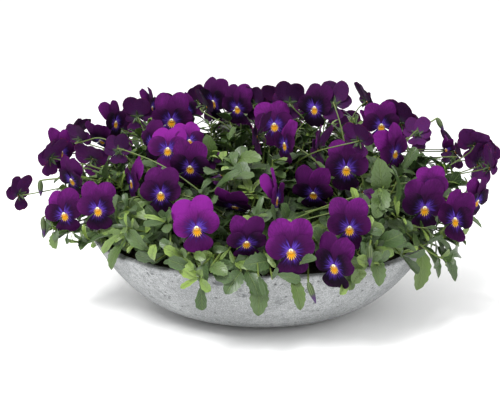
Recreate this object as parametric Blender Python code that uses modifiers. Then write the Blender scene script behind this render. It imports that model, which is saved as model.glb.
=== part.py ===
"""Six violas in full flower in a shallow cast bowl of potting soil.

The frame stands on the ground: metres, +Z up, origin at the middle of the bowl's foot,
-Y to the front. The bowl and the soil are turned. Each plant is one green body, a crown
that stands in a plain hole in the soil with its leaves, flower stalks and buds grown
into it. The petals are bodies of their own, one for each bloom, or one for a few blooms
whose petals grow through each other.
"""

import math

import bmesh
import bpy
from mathutils import Matrix, Vector
from mathutils.bvhtree import BVHTree

MM = 0.001
GOLDEN_ANGLE = math.radians(137.508)

# Bowl, turned
RIM_RADIUS = 0.168
BOWL_HEIGHT = 0.075
FOOT_RADIUS = 0.060
BOWL_SWELL = 2.6        # radius grows with height to the power 1 / BOWL_SWELL
WALL = 0.009
FLOOR = 0.010
LIP_ROUND = 0.0018
BOWL_STEPS = 28
INSIDE = (0.05, 0.22, 0.55)     # fractions of the depth where the inner profile has points

# Soil
SOIL_EDGE = 0.067       # height where the soil meets the wall
SOIL_CROWN = 0.071      # height in the middle
GAP = 0.00035           # between pieces that touch
HOLE_FLOOR = 0.055

# Plants: where each crown stands on the soil, one in the middle and five round it
CROWNS = [(0, 6), (-17, -97), (88, -46), (70, 68), (-43, 88), (-97, -14)]
CROWN_STEPS = 8
CROWN_NECK = 0.009
CROWN_WIDTH = 0.016
CROWN_TOP = 0.112
CROWN_ROOT = 0.005       # distance of the roots of stalks and leaves from its middle
STALK_ROOTS = (0.098, 0.107)    # heights in the crown that flower stalks start from
LEAF_ROOTS = (0.084, 0.096)

# Blooms. A petal: heading round the eye, tilt forward, length, half width, droop at the
# tip, and rows at (fraction of the length, fraction of the half width)
HUB = 0.0024            # radius of the throat that the petals grow from
PETAL_THICK = 0.0008
UPPER = ((0.42, 0.40), (0.74, 1.0), (1.0, 0.50))
SIDE = ((0.66, 0.80), (1.0, 0.60))
LOWER = ((0.55, 0.90), (1.0, 0.62))
FURLED = ((0.36, 0.55), (0.74, 1.0), (1.0, 0.52))
OPEN_PETALS = [
    (13, 9, 0.0200, 0.0090, 0.002, SIDE),
    (63, -9, 0.0285, 0.0115, 0.003, UPPER),
    (117, -17, 0.0285, 0.0115, 0.003, UPPER),
    (167, 6, 0.0200, 0.0090, 0.002, SIDE),
    (270, 4, 0.0195, 0.0118, 0.004, LOWER),
]
FURLED_PETALS = [
    (1, 56, 0.0180, 0.0052, 0.0, FURLED),
    (63, 58, 0.0240, 0.0062, 0.0, FURLED),
    (117, 50, 0.0250, 0.0062, 0.0, FURLED),
    (179, 52, 0.0180, 0.0052, 0.0, FURLED),
    (270, 40, 0.0190, 0.0070, 0.0, FURLED),
]

# One line for each node of petals. A bloom: eye (x, y, z) in mm, turn of its face from the
# front towards +X, nod upward, lean of its top to its own right, size, open or furled
BLOOMS = [
    [(-239, -12, 111, -125, -5, 0, 0.74, 1)],
    [(-202, -38, 153, -120, 10, 0, 0.83, 1), (-194, -23, 156, 55, 0, -15, 0.83, 1)],
    [(-179, 2, 163, 150, 10, 0, 0.70, 1), (-167, 0, 144, 165, 20, 0, 0.87, 1)],
    [(-161, 20, 159, -25, -45, 0, 0.78, 1), (-146, 21, 177, 60, 0, 0, 0.80, 1)],
    [(-179, -60, 137, -40, -20, 0, 0.83, 1)],
    [(-184, -80, 109, -12, 5, 14, 0.89, 1)],
    [(-150, -100, 119, -8, 5, 6, 0.93, 1)],
    [(-137, -40, 160, -170, -30, 0, 0.61, 1)],
    [(-128, 60, 176, 180, 0, 0, 0.83, 1), (-114, 75, 183, 75, 0, 0, 0.78, 1)],
    [(-90, 20, 179, 0, -5, 0, 1.00, 1), (-74, 32, 186, 60, 10, 0, 0.74, 1)],
    [(-90, -40, 162, -5, 25, 0, 0.91, 1), (-70, -29, 168, 20, 20, 0, 0.74, 1),
     (-108, -12, 163, -50, 0, 0, 0.83, 1)],
    [(-68, -60, 149, -8, -12, 0, 0.91, 1)],
    [(-123, -60, 135, -65, 0, -10, 0.91, 1)],
    [(-93, -95, 132, -5, 10, 0, 0.91, 1)],
    [(-57, 68, 185, 120, 10, 0, 0.74, 1), (-50, 68, 190, -40, 0, 0, 0.96, 1)],
    [(-49, -20, 150, 160, -30, 0, 0.65, 0)],
    [(-39, -60, 142, -100, -60, 0, 0.65, 0)],
    [(-25, 44, 188, -30, -10, 0, 0.87, 1), (-7, 44, 191, 150, 0, 0, 0.74, 1)],
    [(12, 18, 175, 5, 15, 5, 0.96, 1), (28, 33, 195, 180, 0, 0, 0.83, 1)],
    [(-5, -20, 171, -105, 0, 0, 0.91, 1)],
    [(51, 0, 195, -35, 5, 0, 0.91, 1), (70, -3, 199, 165, -35, 0, 0.84, 1)],
    [(21, -40, 167, -60, 0, 0, 0.87, 1)],
    [(53, -30, 160, -110, 0, 0, 0.91, 1)],
    [(46, -85, 130, -15, -25, 0, 0.91, 1)],
    [(78, -60, 148, -3, 8, 0, 1.00, 1), (89, -59, 174, 150, 10, 0, 0.74, 1)],
    [(110, 82, 188, 110, 10, 0, 0.83, 1), (112, 64, 163, 80, 0, 0, 0.78, 1)],
    [(122, 48, 169, 5, 5, 0, 0.91, 1), (143, 60, 169, 145, 5, 0, 0.96, 1)],
    [(128, -20, 155, 45, -5, 20, 0.96, 1)],
    [(155, 20, 165, 170, -50, 0, 0.70, 1)],
    [(187, 38, 146, 20, 30, 0, 0.61, 0), (191, 22, 140, -160, -20, 0, 0.65, 0)],
    [(214, 28, 152, 170, 20, 0, 0.87, 1), (227, 37, 141, 150, 10, 0, 0.83, 1),
     (218, 24, 135, -150, 0, 0, 0.83, 1), (226, 7, 134, 100, -10, 0, 0.80, 1)],
    [(208, -30, 109, 45, -15, 0, 0.85, 1)],
    [(148, -89, 117, 3, 0, 0, 1.00, 1), (155, -81, 135, 0, 20, 0, 0.78, 1)],
    [(173, -110, 112, -50, 0, 0, 0.98, 1)],
    [(-58, -155, 116, 5, 12, 8, 1.00, 1)],
    [(-26, -120, 127, -20, -55, 0, 0.87, 1)],
    [(-15, -160, 105, 5, -22, 0, 0.87, 1)],
    [(12, -110, 131, 75, 0, 0, 0.96, 1)],
    [(23, -170, 100, -5, 8, 5, 1.04, 1)],
    [(59, -181, 90, -36, -8, 0, 1.00, 1)],
    [(74, -150, 115, 3, 2, 0, 0.96, 1)],
    [(90, -95, 134, 90, -30, 0, 0.65, 0)],
    [(-150, 110, 150, -160, 10, 0, 0.91, 1)],
    [(-95, 150, 165, 170, 15, 0, 0.96, 1), (-70, 138, 180, -150, 20, 0, 0.87, 1)],
    [(-30, 175, 140, 180, 10, 5, 1.00, 1)],
    [(20, 150, 175, 165, 20, 0, 0.96, 1), (37, 142, 163, -170, 5, 0, 0.91, 1)],
    [(95, 160, 145, 175, 12, -5, 1.00, 1)],
    [(150, 110, 160, 150, 10, 0, 0.91, 1), (170, 99, 149, 120, 0, 0, 0.87, 1)],
    [(-195, 60, 155, -120, 15, 0, 0.91, 1)],
    [(60, 190, 118, 170, 0, 0, 0.87, 1)],
    [(-90, 185, 110, -165, 0, 0, 0.91, 1), (-112, 178, 120, 170, 10, 0, 0.83, 1)],
    [(200, 58, 140, 105, 15, 0, 0.91, 1)],
]

# Stalks, three-sided tubes: radii at the root, half way, at the bend and under the bloom
STALK_RADII = (1.5, 1.1, 1.0, 1.7)
BUD_RADII = (1.5, 1.0, 0.9, 2.6, 0.5)
BENDS = (0.008, 0.005, 0.012, 0.017)    # how far behind the bloom the bend may lie
SEAT = 0.0004           # from the calyx to the back of the petals
ROUTE_LIFTS = (0.018, 0.008, 0.030, 0.0, -0.010, 0.045, -0.020)
ROUTE_SWAYS = (0.0, 0.010, -0.010, 0.020, -0.020, 0.032, -0.032, 0.046, -0.046)
NECK = 0.0023           # length of stalk behind a bloom that only its own calyx needs
CLEAR = 0.00245         # from a stalk's middle line to any other piece
OWN_CLEAR = 0.0020      # to the petals of its own node
NECK_CLEAR = 0.0013     # to those petals near the calyx, and to its own plant
BUD_CLEAR = 0.0042
LINE_STEP = 0.0025      # between the points of a line where its clearance is taken
FACE_AHEAD = 0.070      # how far before the face of a bloom no stalk or leaf crosses it
FACE_HALF = 0.018       # radius of that free view, for a bloom of size 1
FRONT = (0.0, -0.97, 0.24)      # towards where the planter is looked at from

# Buds that hang on bent stalks: top and tip, mm
BUDS = [
    ((-216, -20, 128), (-216, -20, 111)),
    ((-208, -58, 101), (-207, -60, 81)),
    ((-80, -166, 108), (-79, -167, 95)),
    ((90, -170, 106), (90, -172, 87)),
    ((37, -182, 77), (44, -184, 58)),
    ((177, 40, 179), (185, 40, 164)),
]

# Leaves with scalloped edges: rows at (fraction of the length, fraction of the half width)
LEAF_ROWS = ((0.20, 0.84), (0.33, 0.74), (0.52, 1.0), (0.68, 0.80), (0.85, 0.66))
LEAF_THICK = 0.0009
LEAF_ARCH = 0.10
STEM_HALF = 0.0011
STEM_RISE = 0.006       # of the middle of a leaf's stem above the straight line
LEAF_CLEAR = 0.0007     # kept to other pieces on each face

# Leaves in the places that show most: foot and tip of the blade and its width, mm
LEAVES = [
    ((-52, -168, 88), (-50, -178, 73), 13),
    ((-45, -170, 87), (-31, -182, 83), 13),
    ((-20, -170, 82), (-33, -183, 66), 15),
    ((-15, -170, 84), (-5, -183, 66), 14),
    ((-4, -174, 78), (-5, -182, 46), 16),
    ((4, -160, 88), (-18, -176, 89), 16),
    ((28, -174, 78), (34, -181, 52), 12),
    ((38, -165, 86), (51, -178, 93), 11),
    ((66, -160, 88), (75, -176, 80), 13),
    ((94, -150, 90), (99, -168, 68), 15),
    ((106, -125, 92), (134, -140, 91), 18),
    ((146, -96, 79), (140, -110, 45), 17),
    ((149, -84, 80), (162, -96, 52), 18),
    ((164, -72, 76), (180, -84, 45), 14),
    ((165, -60, 80), (185, -70, 75), 15),
    ((108, -100, 133), (102, -112, 169), 18),
    ((109, -110, 141), (99, -128, 120), 16),
    ((185, -56, 102), (206, -66, 92), 16),
    ((-195, -50, 94), (-214, -62, 75), 19),
    ((-191, -66, 92), (-191, -88, 78), 16),
    ((-153, -84, 93), (-168, -96, 79), 15),
    ((-130, -100, 94), (-158, -112, 90), 15),
    ((-128, -106, 88), (-137, -118, 67), 14),
    ((-92, -124, 101), (-119, -140, 100), 19),
    ((-84, -140, 99), (-100, -154, 90), 14),
    ((-119, -100, 105), (-120, -116, 133), 19),
    ((-49, -10, 144), (-52, -26, 173), 17),
    ((-23, -50, 154), (-1, -66, 158), 15),
    ((-138, -40, 131), (-133, -56, 155), 15),
    ((178, -6, 133), (155, -14, 150), 14),
    ((-60, -150, 90), (-78, -168, 94), 14),
]

# The rest of the leaves fill a dome, low at the rim and high in the middle
DOME_LEAVES = 25
DOME = (0.205, 0.178, 0.080)
DOME_FOOT = 0.078
DOME_LEAF = (0.034, 0.0100)     # length and half width
LEAF_TRIES = 14


def draw(number, kind):
    """A fixed draw from 0 to 1 for a numbered piece: fractional parts of golden steps."""
    return (number * 0.6180340 + kind * 0.7548777 + 0.137) % 1.0


def mm(point):
    return Vector(point) * MM


def clear_scene():
    for thing in list(bpy.data.objects):
        bpy.data.objects.remove(thing, do_unlink=True)


def new_collection(name):
    made = bpy.data.collections.new(name)
    bpy.context.scene.collection.children.link(made)
    return made


def finish_material(name, colour, roughness):
    made = bpy.data.materials.new(name)
    made.use_nodes = True
    shader = made.node_tree.nodes["Principled BSDF"]
    shader.inputs["Base Color"].default_value = (*colour, 1.0)
    shader.inputs["Roughness"].default_value = roughness
    shader.inputs["Metallic"].default_value = 0.0
    return made


def add_object(name, mesh, collection, material=None):
    made = bpy.data.objects.new(name, mesh)
    collection.objects.link(made)
    if material:
        mesh.materials.clear()
        mesh.materials.append(material)
    return made


def evaluated_mesh(thing):
    """The mesh that an object's modifiers give, as plain data."""
    graph = bpy.context.evaluated_depsgraph_get()
    return bpy.data.meshes.new_from_object(thing.evaluated_get(graph))


def remove_object(thing):
    bpy.data.objects.remove(thing, do_unlink=True)


# ---------------------------------------------------------------- bowl and soil

def bowl_radius(height, low, high, foot, rim):
    """Radius of the swelling wall at a height between its foot and its rim."""
    rise = max(0.0, (height - low) / (high - low))
    return foot + (rim - foot) * rise ** (1.0 / BOWL_SWELL)


def turned(name, profile, steps, collection, material):
    """A profile at +X, down its outer side, turned round Z with a Screw modifier."""
    mesh = bpy.data.meshes.new(name)
    edges = [(i, i + 1) for i in range(len(profile) - 1)]
    mesh.from_pydata([(radius, 0.0, height) for radius, height in profile], edges, [])
    made = add_object(name, mesh, collection, material)
    screw = made.modifiers.new("turn", "SCREW")
    screw.axis = "Z"
    screw.steps = steps
    screw.render_steps = steps
    screw.use_merge_vertices = True
    screw.merge_threshold = 0.00001
    return made


def inner_wall(height, gap=0.0):
    return bowl_radius(height, FLOOR, BOWL_HEIGHT, FOOT_RADIUS - WALL, RIM_RADIUS - WALL) - gap


def make_bowl(collection, material):
    """Foot, thin swelling wall and a small round on both edges of the plain rim."""
    outside = [0.80, 0.55, 0.30, 0.12, 0.03]
    depth = BOWL_HEIGHT - FLOOR
    profile = [(0.0, FLOOR), (FOOT_RADIUS - WALL, FLOOR)]
    profile += [(inner_wall(FLOOR + depth * part), FLOOR + depth * part) for part in INSIDE]
    profile += [
        (RIM_RADIUS - WALL, BOWL_HEIGHT - LIP_ROUND),
        (RIM_RADIUS - WALL + LIP_ROUND, BOWL_HEIGHT),
        (RIM_RADIUS - LIP_ROUND, BOWL_HEIGHT),
    ]
    for part in outside:
        height = BOWL_HEIGHT * part
        profile.append((bowl_radius(height, 0.0, BOWL_HEIGHT, FOOT_RADIUS, RIM_RADIUS), height))
    profile += [(FOOT_RADIUS, 0.0), (0.0, 0.0)]
    return turned("bowl", profile, BOWL_STEPS, collection, material)


def make_soil(collection, cutters, material):
    """Soil that fills the bowl to just under its rim, with a plain hole for each crown."""
    depth = BOWL_HEIGHT - FLOOR
    heights = [SOIL_EDGE - FLOOR] + [depth * part for part in reversed(INSIDE)]
    profile = [(0.0, SOIL_CROWN), (0.080, SOIL_CROWN - 0.001)]
    for height in heights:
        profile.append((inner_wall(FLOOR + height, 3 * GAP), FLOOR + height))
    profile += [(FOOT_RADIUS - WALL - GAP, FLOOR + GAP), (0.0, FLOOR + GAP)]
    soil = turned("soil", profile, BOWL_STEPS, collection, material)
    holes = new_collection("soil_holes")
    cutters.children.link(holes)
    bpy.context.scene.collection.children.unlink(holes)
    hole_top = SOIL_CROWN + 0.010
    for number, (x, y) in enumerate(CROWNS):
        bpy.ops.mesh.primitive_cylinder_add(
            vertices=CROWN_STEPS,
            radius=CROWN_NECK + 1.3 * GAP,
            depth=hole_top - HOLE_FLOOR,
            location=(x * MM, y * MM, (hole_top + HOLE_FLOOR) / 2),
        )
        hole = bpy.context.active_object
        hole.name = f"hole_{number + 1}"
        hole.hide_render = True
        hole.display_type = "WIRE"
        for home in list(hole.users_collection):
            home.objects.unlink(hole)
        holes.objects.link(hole)
    cut = soil.modifiers.new("holes", "BOOLEAN")
    cut.operation = "DIFFERENCE"
    cut.operand_type = "COLLECTION"
    cut.collection = holes
    return soil


# ---------------------------------------------------------------- thin blades

def closed_blade(bm, thick):
    """Gives an open surface its thickness, behind it, split alike on both faces."""
    bm.normal_update()
    bmesh.ops.solidify(bm, geom=bm.faces[:], thickness=thick)
    bmesh.ops.triangulate(bm, faces=bm.faces[:])
    return bm


def add_rows(bm, first, rows):
    """Carries a strip on from a pair of vertices through pairs of points."""
    right, left = first
    for right_point, left_point in rows:
        next_right = bm.verts.new(right_point)
        next_left = bm.verts.new(left_point)
        bm.faces.new((right, next_right, next_left))
        bm.faces.new((right, next_left, left))
        right, left = next_right, next_left
    return right, left


def mesh_of(bm, name):
    mesh = bpy.data.meshes.new(name)
    bm.to_mesh(mesh)
    bm.free()
    return mesh


def tree_of(mesh, place=None):
    """A search tree over a mesh, carried to its place."""
    place = place or Matrix.Identity(4)
    corners = [place @ vertex.co for vertex in mesh.vertices]
    return BVHTree.FromPolygons(corners, [face.vertices[:] for face in mesh.polygons])


# ---------------------------------------------------------------- blooms

def petal_point(along, across, size, tilt, droop, part, reach, half):
    """A point of a petal: out along its heading, tilted, drooping towards the tip."""
    start = HUB * size * 0.8
    out = reach * part - start
    height = out * math.sin(tilt) - droop * max(0.0, (part - 0.3) / 0.7) ** 2
    return along * (start + out * math.cos(tilt)) + across * half + Vector((0, 0, height))


def bloom_mesh(name, petals, size):
    """Five petals in layers round the throat, face along +Z, top along +Y."""
    bm = bmesh.new()
    headings = [math.radians(petal[0]) for petal in petals]
    corners = []
    for number, heading in enumerate(headings):
        before = headings[number - 1] - (2 * math.pi if number == 0 else 0)
        middle = (before + heading) / 2
        corners.append(bm.verts.new((HUB * size * math.cos(middle), HUB * size * math.sin(middle), 0)))
    for number in (1, 2, 3):
        bm.faces.new((corners[0], corners[number], corners[number + 1]))
    for number, (heading, tilt, reach, half, droop, rows) in enumerate(petals):
        along = Vector((math.cos(headings[number]), math.sin(headings[number]), 0))
        across = Vector((-along.y, along.x, 0))
        pairs = []
        for part, width in rows:
            shape = (size, math.radians(tilt), droop * size, part, reach * size)
            pairs.append([
                petal_point(along, across, *shape, side * half * width * size) for side in (-1, 1)
            ])
        add_rows(bm, (corners[number], corners[(number + 1) % 5]), pairs)
    return mesh_of(closed_blade(bm, PETAL_THICK), name)


def bloom_place(x, y, z, turn, nod, lean):
    """The matrix that sets a bloom's eye at its place with its face the right way."""
    turn, nod, lean = (math.radians(angle) for angle in (turn, nod, lean))
    face = Vector((math.sin(turn) * math.cos(nod), -math.cos(turn) * math.cos(nod), math.sin(nod)))
    right = Vector((-face.y, face.x, 0)).normalized()
    top = face.cross(right)
    across = right * math.cos(lean) + top * math.sin(lean)
    up = top * math.cos(lean) - right * math.sin(lean)
    place = Matrix((across, up, face)).transposed().to_4x4()
    place.translation = mm((x, y, z))
    return place


def fuse(name, pieces, collection, material):
    """Joins pieces into one body with one Boolean union on a collection, applied."""
    base = pieces[0]
    repeats = new_collection(name + "_repeats")
    for piece in pieces[1:]:
        for home in list(piece.users_collection):
            home.objects.unlink(piece)
        repeats.objects.link(piece)
    join = base.modifiers.new("join", "BOOLEAN")
    join.operation = "UNION"
    join.operand_type = "COLLECTION"
    join.collection = repeats
    join.solver = "MANIFOLD"
    mesh = evaluated_mesh(base)
    mesh.transform(base.matrix_world)
    for piece in pieces:
        remove_object(piece)
    bpy.data.collections.remove(repeats)
    mesh.name = name
    return add_object(name, mesh, collection, material)


def make_blooms(collection, material):
    """All nodes of petals, with the seat of a stalk behind each bloom."""
    nodes = []
    seats = []
    for number, group in enumerate(BLOOMS):
        name = ("bloom_%02d" if len(group) == 1 else "blooms_%02d") % (number + 1)
        pieces = []
        for x, y, z, turn, nod, lean, size, is_open in group:
            petals = OPEN_PETALS if is_open else FURLED_PETALS
            piece = add_object(name, bloom_mesh(name, petals, size), collection, material)
            piece.matrix_world = bloom_place(x, y, z, turn, nod, lean)
            pieces.append(piece)
            seats.append((piece.matrix_world.copy(), number, size))
        bpy.context.view_layer.update()
        node = fuse(name, pieces, collection, material) if len(pieces) > 1 else pieces[0]
        nodes.append(node)
    bpy.context.view_layer.update()
    return nodes, seats


# ---------------------------------------------------------------- green parts

def make_crown(name, x, y, collection, material):
    """The stout foot of a plant: a neck in the soil under a swollen tuft."""
    profile = [
        (0.0, CROWN_TOP),
        (CROWN_WIDTH * 0.6, CROWN_TOP - 0.006),
        (CROWN_WIDTH, CROWN_TOP - 0.022),
        (CROWN_NECK, CROWN_TOP - 0.034),
        (CROWN_NECK, HOLE_FLOOR + GAP),
        (0.0, HOLE_FLOOR + GAP),
    ]
    crown = turned(name, profile, CROWN_STEPS, collection, material)
    mesh = evaluated_mesh(crown)
    mesh.transform(Matrix.Translation((x * MM, y * MM, 0)))
    remove_object(crown)
    return add_object(name, mesh, collection, material)


def tube(name, points, radii, outline, collection):
    """A three-sided tube along a bent line, closed at both ends."""
    curve = bpy.data.curves.new(name, "CURVE")
    curve.dimensions = "3D"
    curve.bevel_mode = "OBJECT"
    curve.bevel_object = outline
    curve.use_fill_caps = True
    spline = curve.splines.new("POLY")
    spline.points.add(len(points) - 1)
    for knot, point, radius in zip(spline.points, points, radii):
        knot.co = (*point, 1.0)
        knot.radius = radius
    line = add_object(name, curve, collection)
    mesh = evaluated_mesh(line)
    remove_object(line)
    bm = bmesh.new()
    bm.from_mesh(mesh)
    bmesh.ops.remove_doubles(bm, verts=bm.verts[:], dist=0.00001)
    bmesh.ops.triangulate(bm, faces=bm.faces[:])
    bmesh.ops.recalc_face_normals(bm, faces=bm.faces[:])
    bm.to_mesh(mesh)
    bm.free()
    return add_object(name, mesh, collection)


def triangle_outline(collection):
    """The guide that gives stalks their three sides; a radius of 1 is 1 mm."""
    curve = bpy.data.curves.new("stalk_outline", "CURVE")
    spline = curve.splines.new("POLY")
    spline.points.add(2)
    for number, knot in enumerate(spline.points):
        angle = number * 2 * math.pi / 3
        knot.co = (MM * math.cos(angle), MM * math.sin(angle), 0.0, 1.0)
    spline.use_cyclic_u = True
    guide = add_object("stalk_outline", curve, collection)
    guide.hide_render = True
    guide.display_type = "WIRE"
    return guide


def root_point(crown, target, number, band):
    """A root inside the crown, on the side that the stem leaves from."""
    axis = mm((*CROWNS[crown], 0))
    away = Vector((*target.xy, 0)) - axis
    away = away.normalized() if away.length > 0.001 else Vector((0, -1, 0))
    height = band[0] + (band[1] - band[0]) * draw(number, 3)
    return axis + away * CROWN_ROOT + Vector((0, 0, height)), away


def line_is_clear(points, trees, margin):
    """True where a bent line keeps its distance from every tree."""
    for start, end in zip(points, points[1:]):
        span = end - start
        if span.length < 1e-6:
            continue
        count = max(1, math.ceil(span.length / LINE_STEP))
        for tree in trees:
            if tree.ray_cast(start, span.normalized(), span.length)[0]:
                return False
            for part in range(count + 1):
                if tree.find_nearest(start + span * (part / count), margin)[0]:
                    return False
    return True


def free_view(eye, face, size):
    """The view of a bloom that stalks and leaves keep free: its eye, direction and radius."""
    front = Vector(FRONT)
    view = (face + front).normalized() if face.dot(front) > 0.3 else face
    return eye, view, FACE_HALF * size


def hides_a_face(points, views):
    """True where a bent line passes before the face of a bloom."""
    for start, end in zip(points, points[1:]):
        for part in range(6):
            point = start.lerp(end, part / 5)
            for eye, view, radius in views:
                apart = point - eye
                ahead = apart.dot(view)
                if 0.002 < ahead < FACE_AHEAD and (apart - view * ahead).length < radius:
                    return True
    return False


def stalk_routes(root, away, bend):
    """Bent ways from the root to the bend, the plainest first."""
    across = Vector((-away.y, away.x, 0))
    for lift in ROUTE_LIFTS:
        for sway in ROUTE_SWAYS:
            middle = (root + bend) / 2 + Vector((0, 0, lift)) + across * sway
            yield [root, middle, bend]


def find_route(number, eye, ends, own, others, plants, margin, strict, views):
    """The first clear way from a crown, the nearest one first, to a bend behind a bloom."""
    order = sorted(range(len(CROWNS)), key=lambda n: (mm((*CROWNS[n], 80)) - eye).length)
    for crown in order:
        root, away = root_point(crown, eye, number, STALK_ROOTS)
        rest = others + [tree for plant in plants if plant["number"] != crown for tree in plant["trees"]]
        beside = plants[crown]["trees"][1:] if strict else []
        for bend, neck, end in ends:
            if not line_is_clear([bend, neck], own, NECK_CLEAR):
                continue
            for route in stalk_routes(root, away, bend):
                if hides_a_face(route, views):
                    continue
                if not line_is_clear(route, own, OWN_CLEAR):
                    continue
                if not line_is_clear(route, beside, NECK_CLEAR):
                    continue
                if line_is_clear(route + end, rest, margin):
                    return crown, route + end
    return None


def best_route(number, eye, ends, own, others, plants, margin, views):
    """A route that hides no face if there is one, and keeps off its own plant if it can."""
    for kept_free in (views, []):
        for strict in (True, False):
            found = find_route(number, eye, ends, own, others, plants, margin, strict, kept_free)
            if found:
                return found
    return None


def grow_stalks(seats, bloom_trees, views, plants, outline, collection):
    """A stalk from a crown to the back of each bloom, clear of its neighbours."""
    for number, (place, node, size) in enumerate(seats):
        eye = place.translation
        face = place.to_3x3() @ Vector((0, 0, 1))
        seat = eye - face * (PETAL_THICK + SEAT)
        ends = [(seat - face * back, seat - face * NECK, [seat]) for back in BENDS]
        own = [bloom_trees[node]]
        others = [tree for index, tree in enumerate(bloom_trees) if index != node]
        crown, route = best_route(number, eye, ends, own, others, plants, CLEAR, views)
        radii = STALK_RADII[:-1] + (STALK_RADII[-1] * size,)
        stalk = tube("stalk", route, radii, outline, collection)
        plants[crown]["pieces"].append(stalk)
        plants[crown]["trees"].append(tree_of(stalk.data))


def grow_buds(bloom_trees, views, plants, outline, collection):
    """Drooping buds on bent stalks."""
    for number, (top, tip) in enumerate(BUDS):
        top, tip = mm(top), mm(tip)
        ends = [(top, top, [top.lerp(tip, 0.5), tip])]
        crown, route = best_route(number + 11, top, ends, [], bloom_trees, plants, BUD_CLEAR, views)
        bud = tube("bud", route, BUD_RADII, outline, collection)
        plants[crown]["pieces"].append(bud)
        plants[crown]["trees"].append(tree_of(bud.data))


def leaf_frame(foot, tip, roll):
    """Along, across and out of the face of a blade, which looks up and outward."""
    along = (tip - foot).normalized()
    outward = Vector((*((foot + tip) / 2).xy, 0)).normalized()
    wish = Vector((0, 0, 1)) + outward * 0.9
    across = along.cross(wish).normalized()
    across = (Matrix.Rotation(roll, 3, along) @ across).normalized()
    return along, across, across.cross(along).normalized()


def leaf_mesh(root, foot, tip, half, roll, thick, grow=0.0, with_stem=True):
    """A blade with scalloped edges on a flat stem, arched along its length."""
    along, across, out = leaf_frame(foot, tip, roll)
    length = (tip - foot).length
    bm = bmesh.new()

    def pair(point, width):
        return point - across * (width + grow), point + across * (width + grow)

    rows = []
    if with_stem:
        middle = (root + foot) / 2 + Vector((0, 0, STEM_RISE))
        rows += [pair(root, STEM_HALF), pair(middle, STEM_HALF)]
    rows.append(pair(foot, STEM_HALF))
    for part, width in LEAF_ROWS:
        point = foot + along * length * part + out * length * LEAF_ARCH * math.sin(math.pi * part)
        rows.append(pair(point, half * width))
    first = [bm.verts.new(point) for point in rows[0]]
    right, left = add_rows(bm, first, rows[1:])
    point = bm.verts.new(tip + along * 2 * grow)
    bm.faces.new((right, point, left))
    bm.normal_update()
    for vertex in bm.verts:
        vertex.co += vertex.normal * grow
    return mesh_of(closed_blade(bm, thick + 2 * grow), "leaf")


def leaf_is_clear(leaf, crown, trees, plants, strict):
    """The leaf keeps off other pieces, and its blade or all of it off its own plant too."""
    root, foot, tip, half, roll = leaf
    whole = leaf_mesh(root, foot, tip, half, roll, LEAF_THICK, LEAF_CLEAR)
    blade = leaf_mesh(root, foot, tip, half, roll, LEAF_THICK, LEAF_CLEAR, with_stem=False)
    whole_tree = tree_of(whole)
    blade_tree = tree_of(blade)
    bpy.data.meshes.remove(whole)
    bpy.data.meshes.remove(blade)
    for tree in trees:
        if whole_tree.overlap(tree):
            return False
    for plant in plants:
        mine = plant["number"] == crown
        test = blade_tree if mine and not strict else whole_tree
        for tree in plant["trees"][1 if mine else 0:]:
            if test.overlap(tree):
                return False
    return True


def grow_leaf(leaf, crown, plants, collection):
    root, foot, tip, half, roll = leaf
    mesh = leaf_mesh(root, foot, tip, half, roll, LEAF_THICK)
    made = add_object("leaf", mesh, collection)
    plants[crown]["pieces"].append(made)
    plants[crown]["trees"].append(tree_of(mesh))


def try_leaf(foot, tip, half, number, others, views, plants, collection):
    """Grows a leaf at its place, or a little turned and shifted, where it is first clear."""
    for attempt in range(LEAF_TRIES):
        reach = 0.004 * math.ceil(attempt / 2)
        swing = attempt * GOLDEN_ANGLE
        shift = Vector((math.cos(swing), math.sin(swing), 0.5 * math.sin(2 * swing))) * reach
        roll = math.radians(24) * (draw(number, 5 + attempt) - 0.5) * 2
        if hides_a_face([foot + shift, tip + shift], views):
            continue
        order = sorted(range(len(CROWNS)), key=lambda n: (mm((*CROWNS[n], 80)) - foot).length)
        for crown in order[:2]:
            root, _ = root_point(crown, foot, number + 29, LEAF_ROOTS)
            leaf = (root, foot + shift, tip + shift, half, roll)
            if leaf_is_clear(leaf, crown, others, plants, attempt < LEAF_TRIES / 2):
                grow_leaf(leaf, crown, plants, collection)
                return


def grow_leaves(others, views, plants, collection):
    """First the leaves that have their places, then the dome, which hides no bloom."""
    for number, (foot, tip, width) in enumerate(LEAVES):
        try_leaf(mm(foot), mm(tip), width * MM / 2, number, others, [], plants, collection)
    length, half = DOME_LEAF
    for number in range(DOME_LEAVES):
        share = (number + 0.5) / DOME_LEAVES
        swing = number * GOLDEN_ANGLE + 0.4 * draw(number, 1)
        outward = Vector((math.cos(swing), math.sin(swing), 0))
        rise = DOME[2] * math.sqrt(1.0 - share * 0.96)
        radius = math.sqrt(share)
        tip = Vector((outward.x * DOME[0] * radius, outward.y * DOME[1] * radius, DOME_FOOT + rise))
        size = 0.85 + 0.3 * draw(number, 2)
        slope = Vector((0, 0, 0.55 - 1.0 * share))
        heading = Matrix.Rotation(1.2 * (draw(number, 4) - 0.5), 3, "Z") @ outward
        foot = tip - (heading + slope).normalized() * length * size
        try_leaf(foot, tip, half * size, number + 50, others, views, plants, collection)


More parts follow.
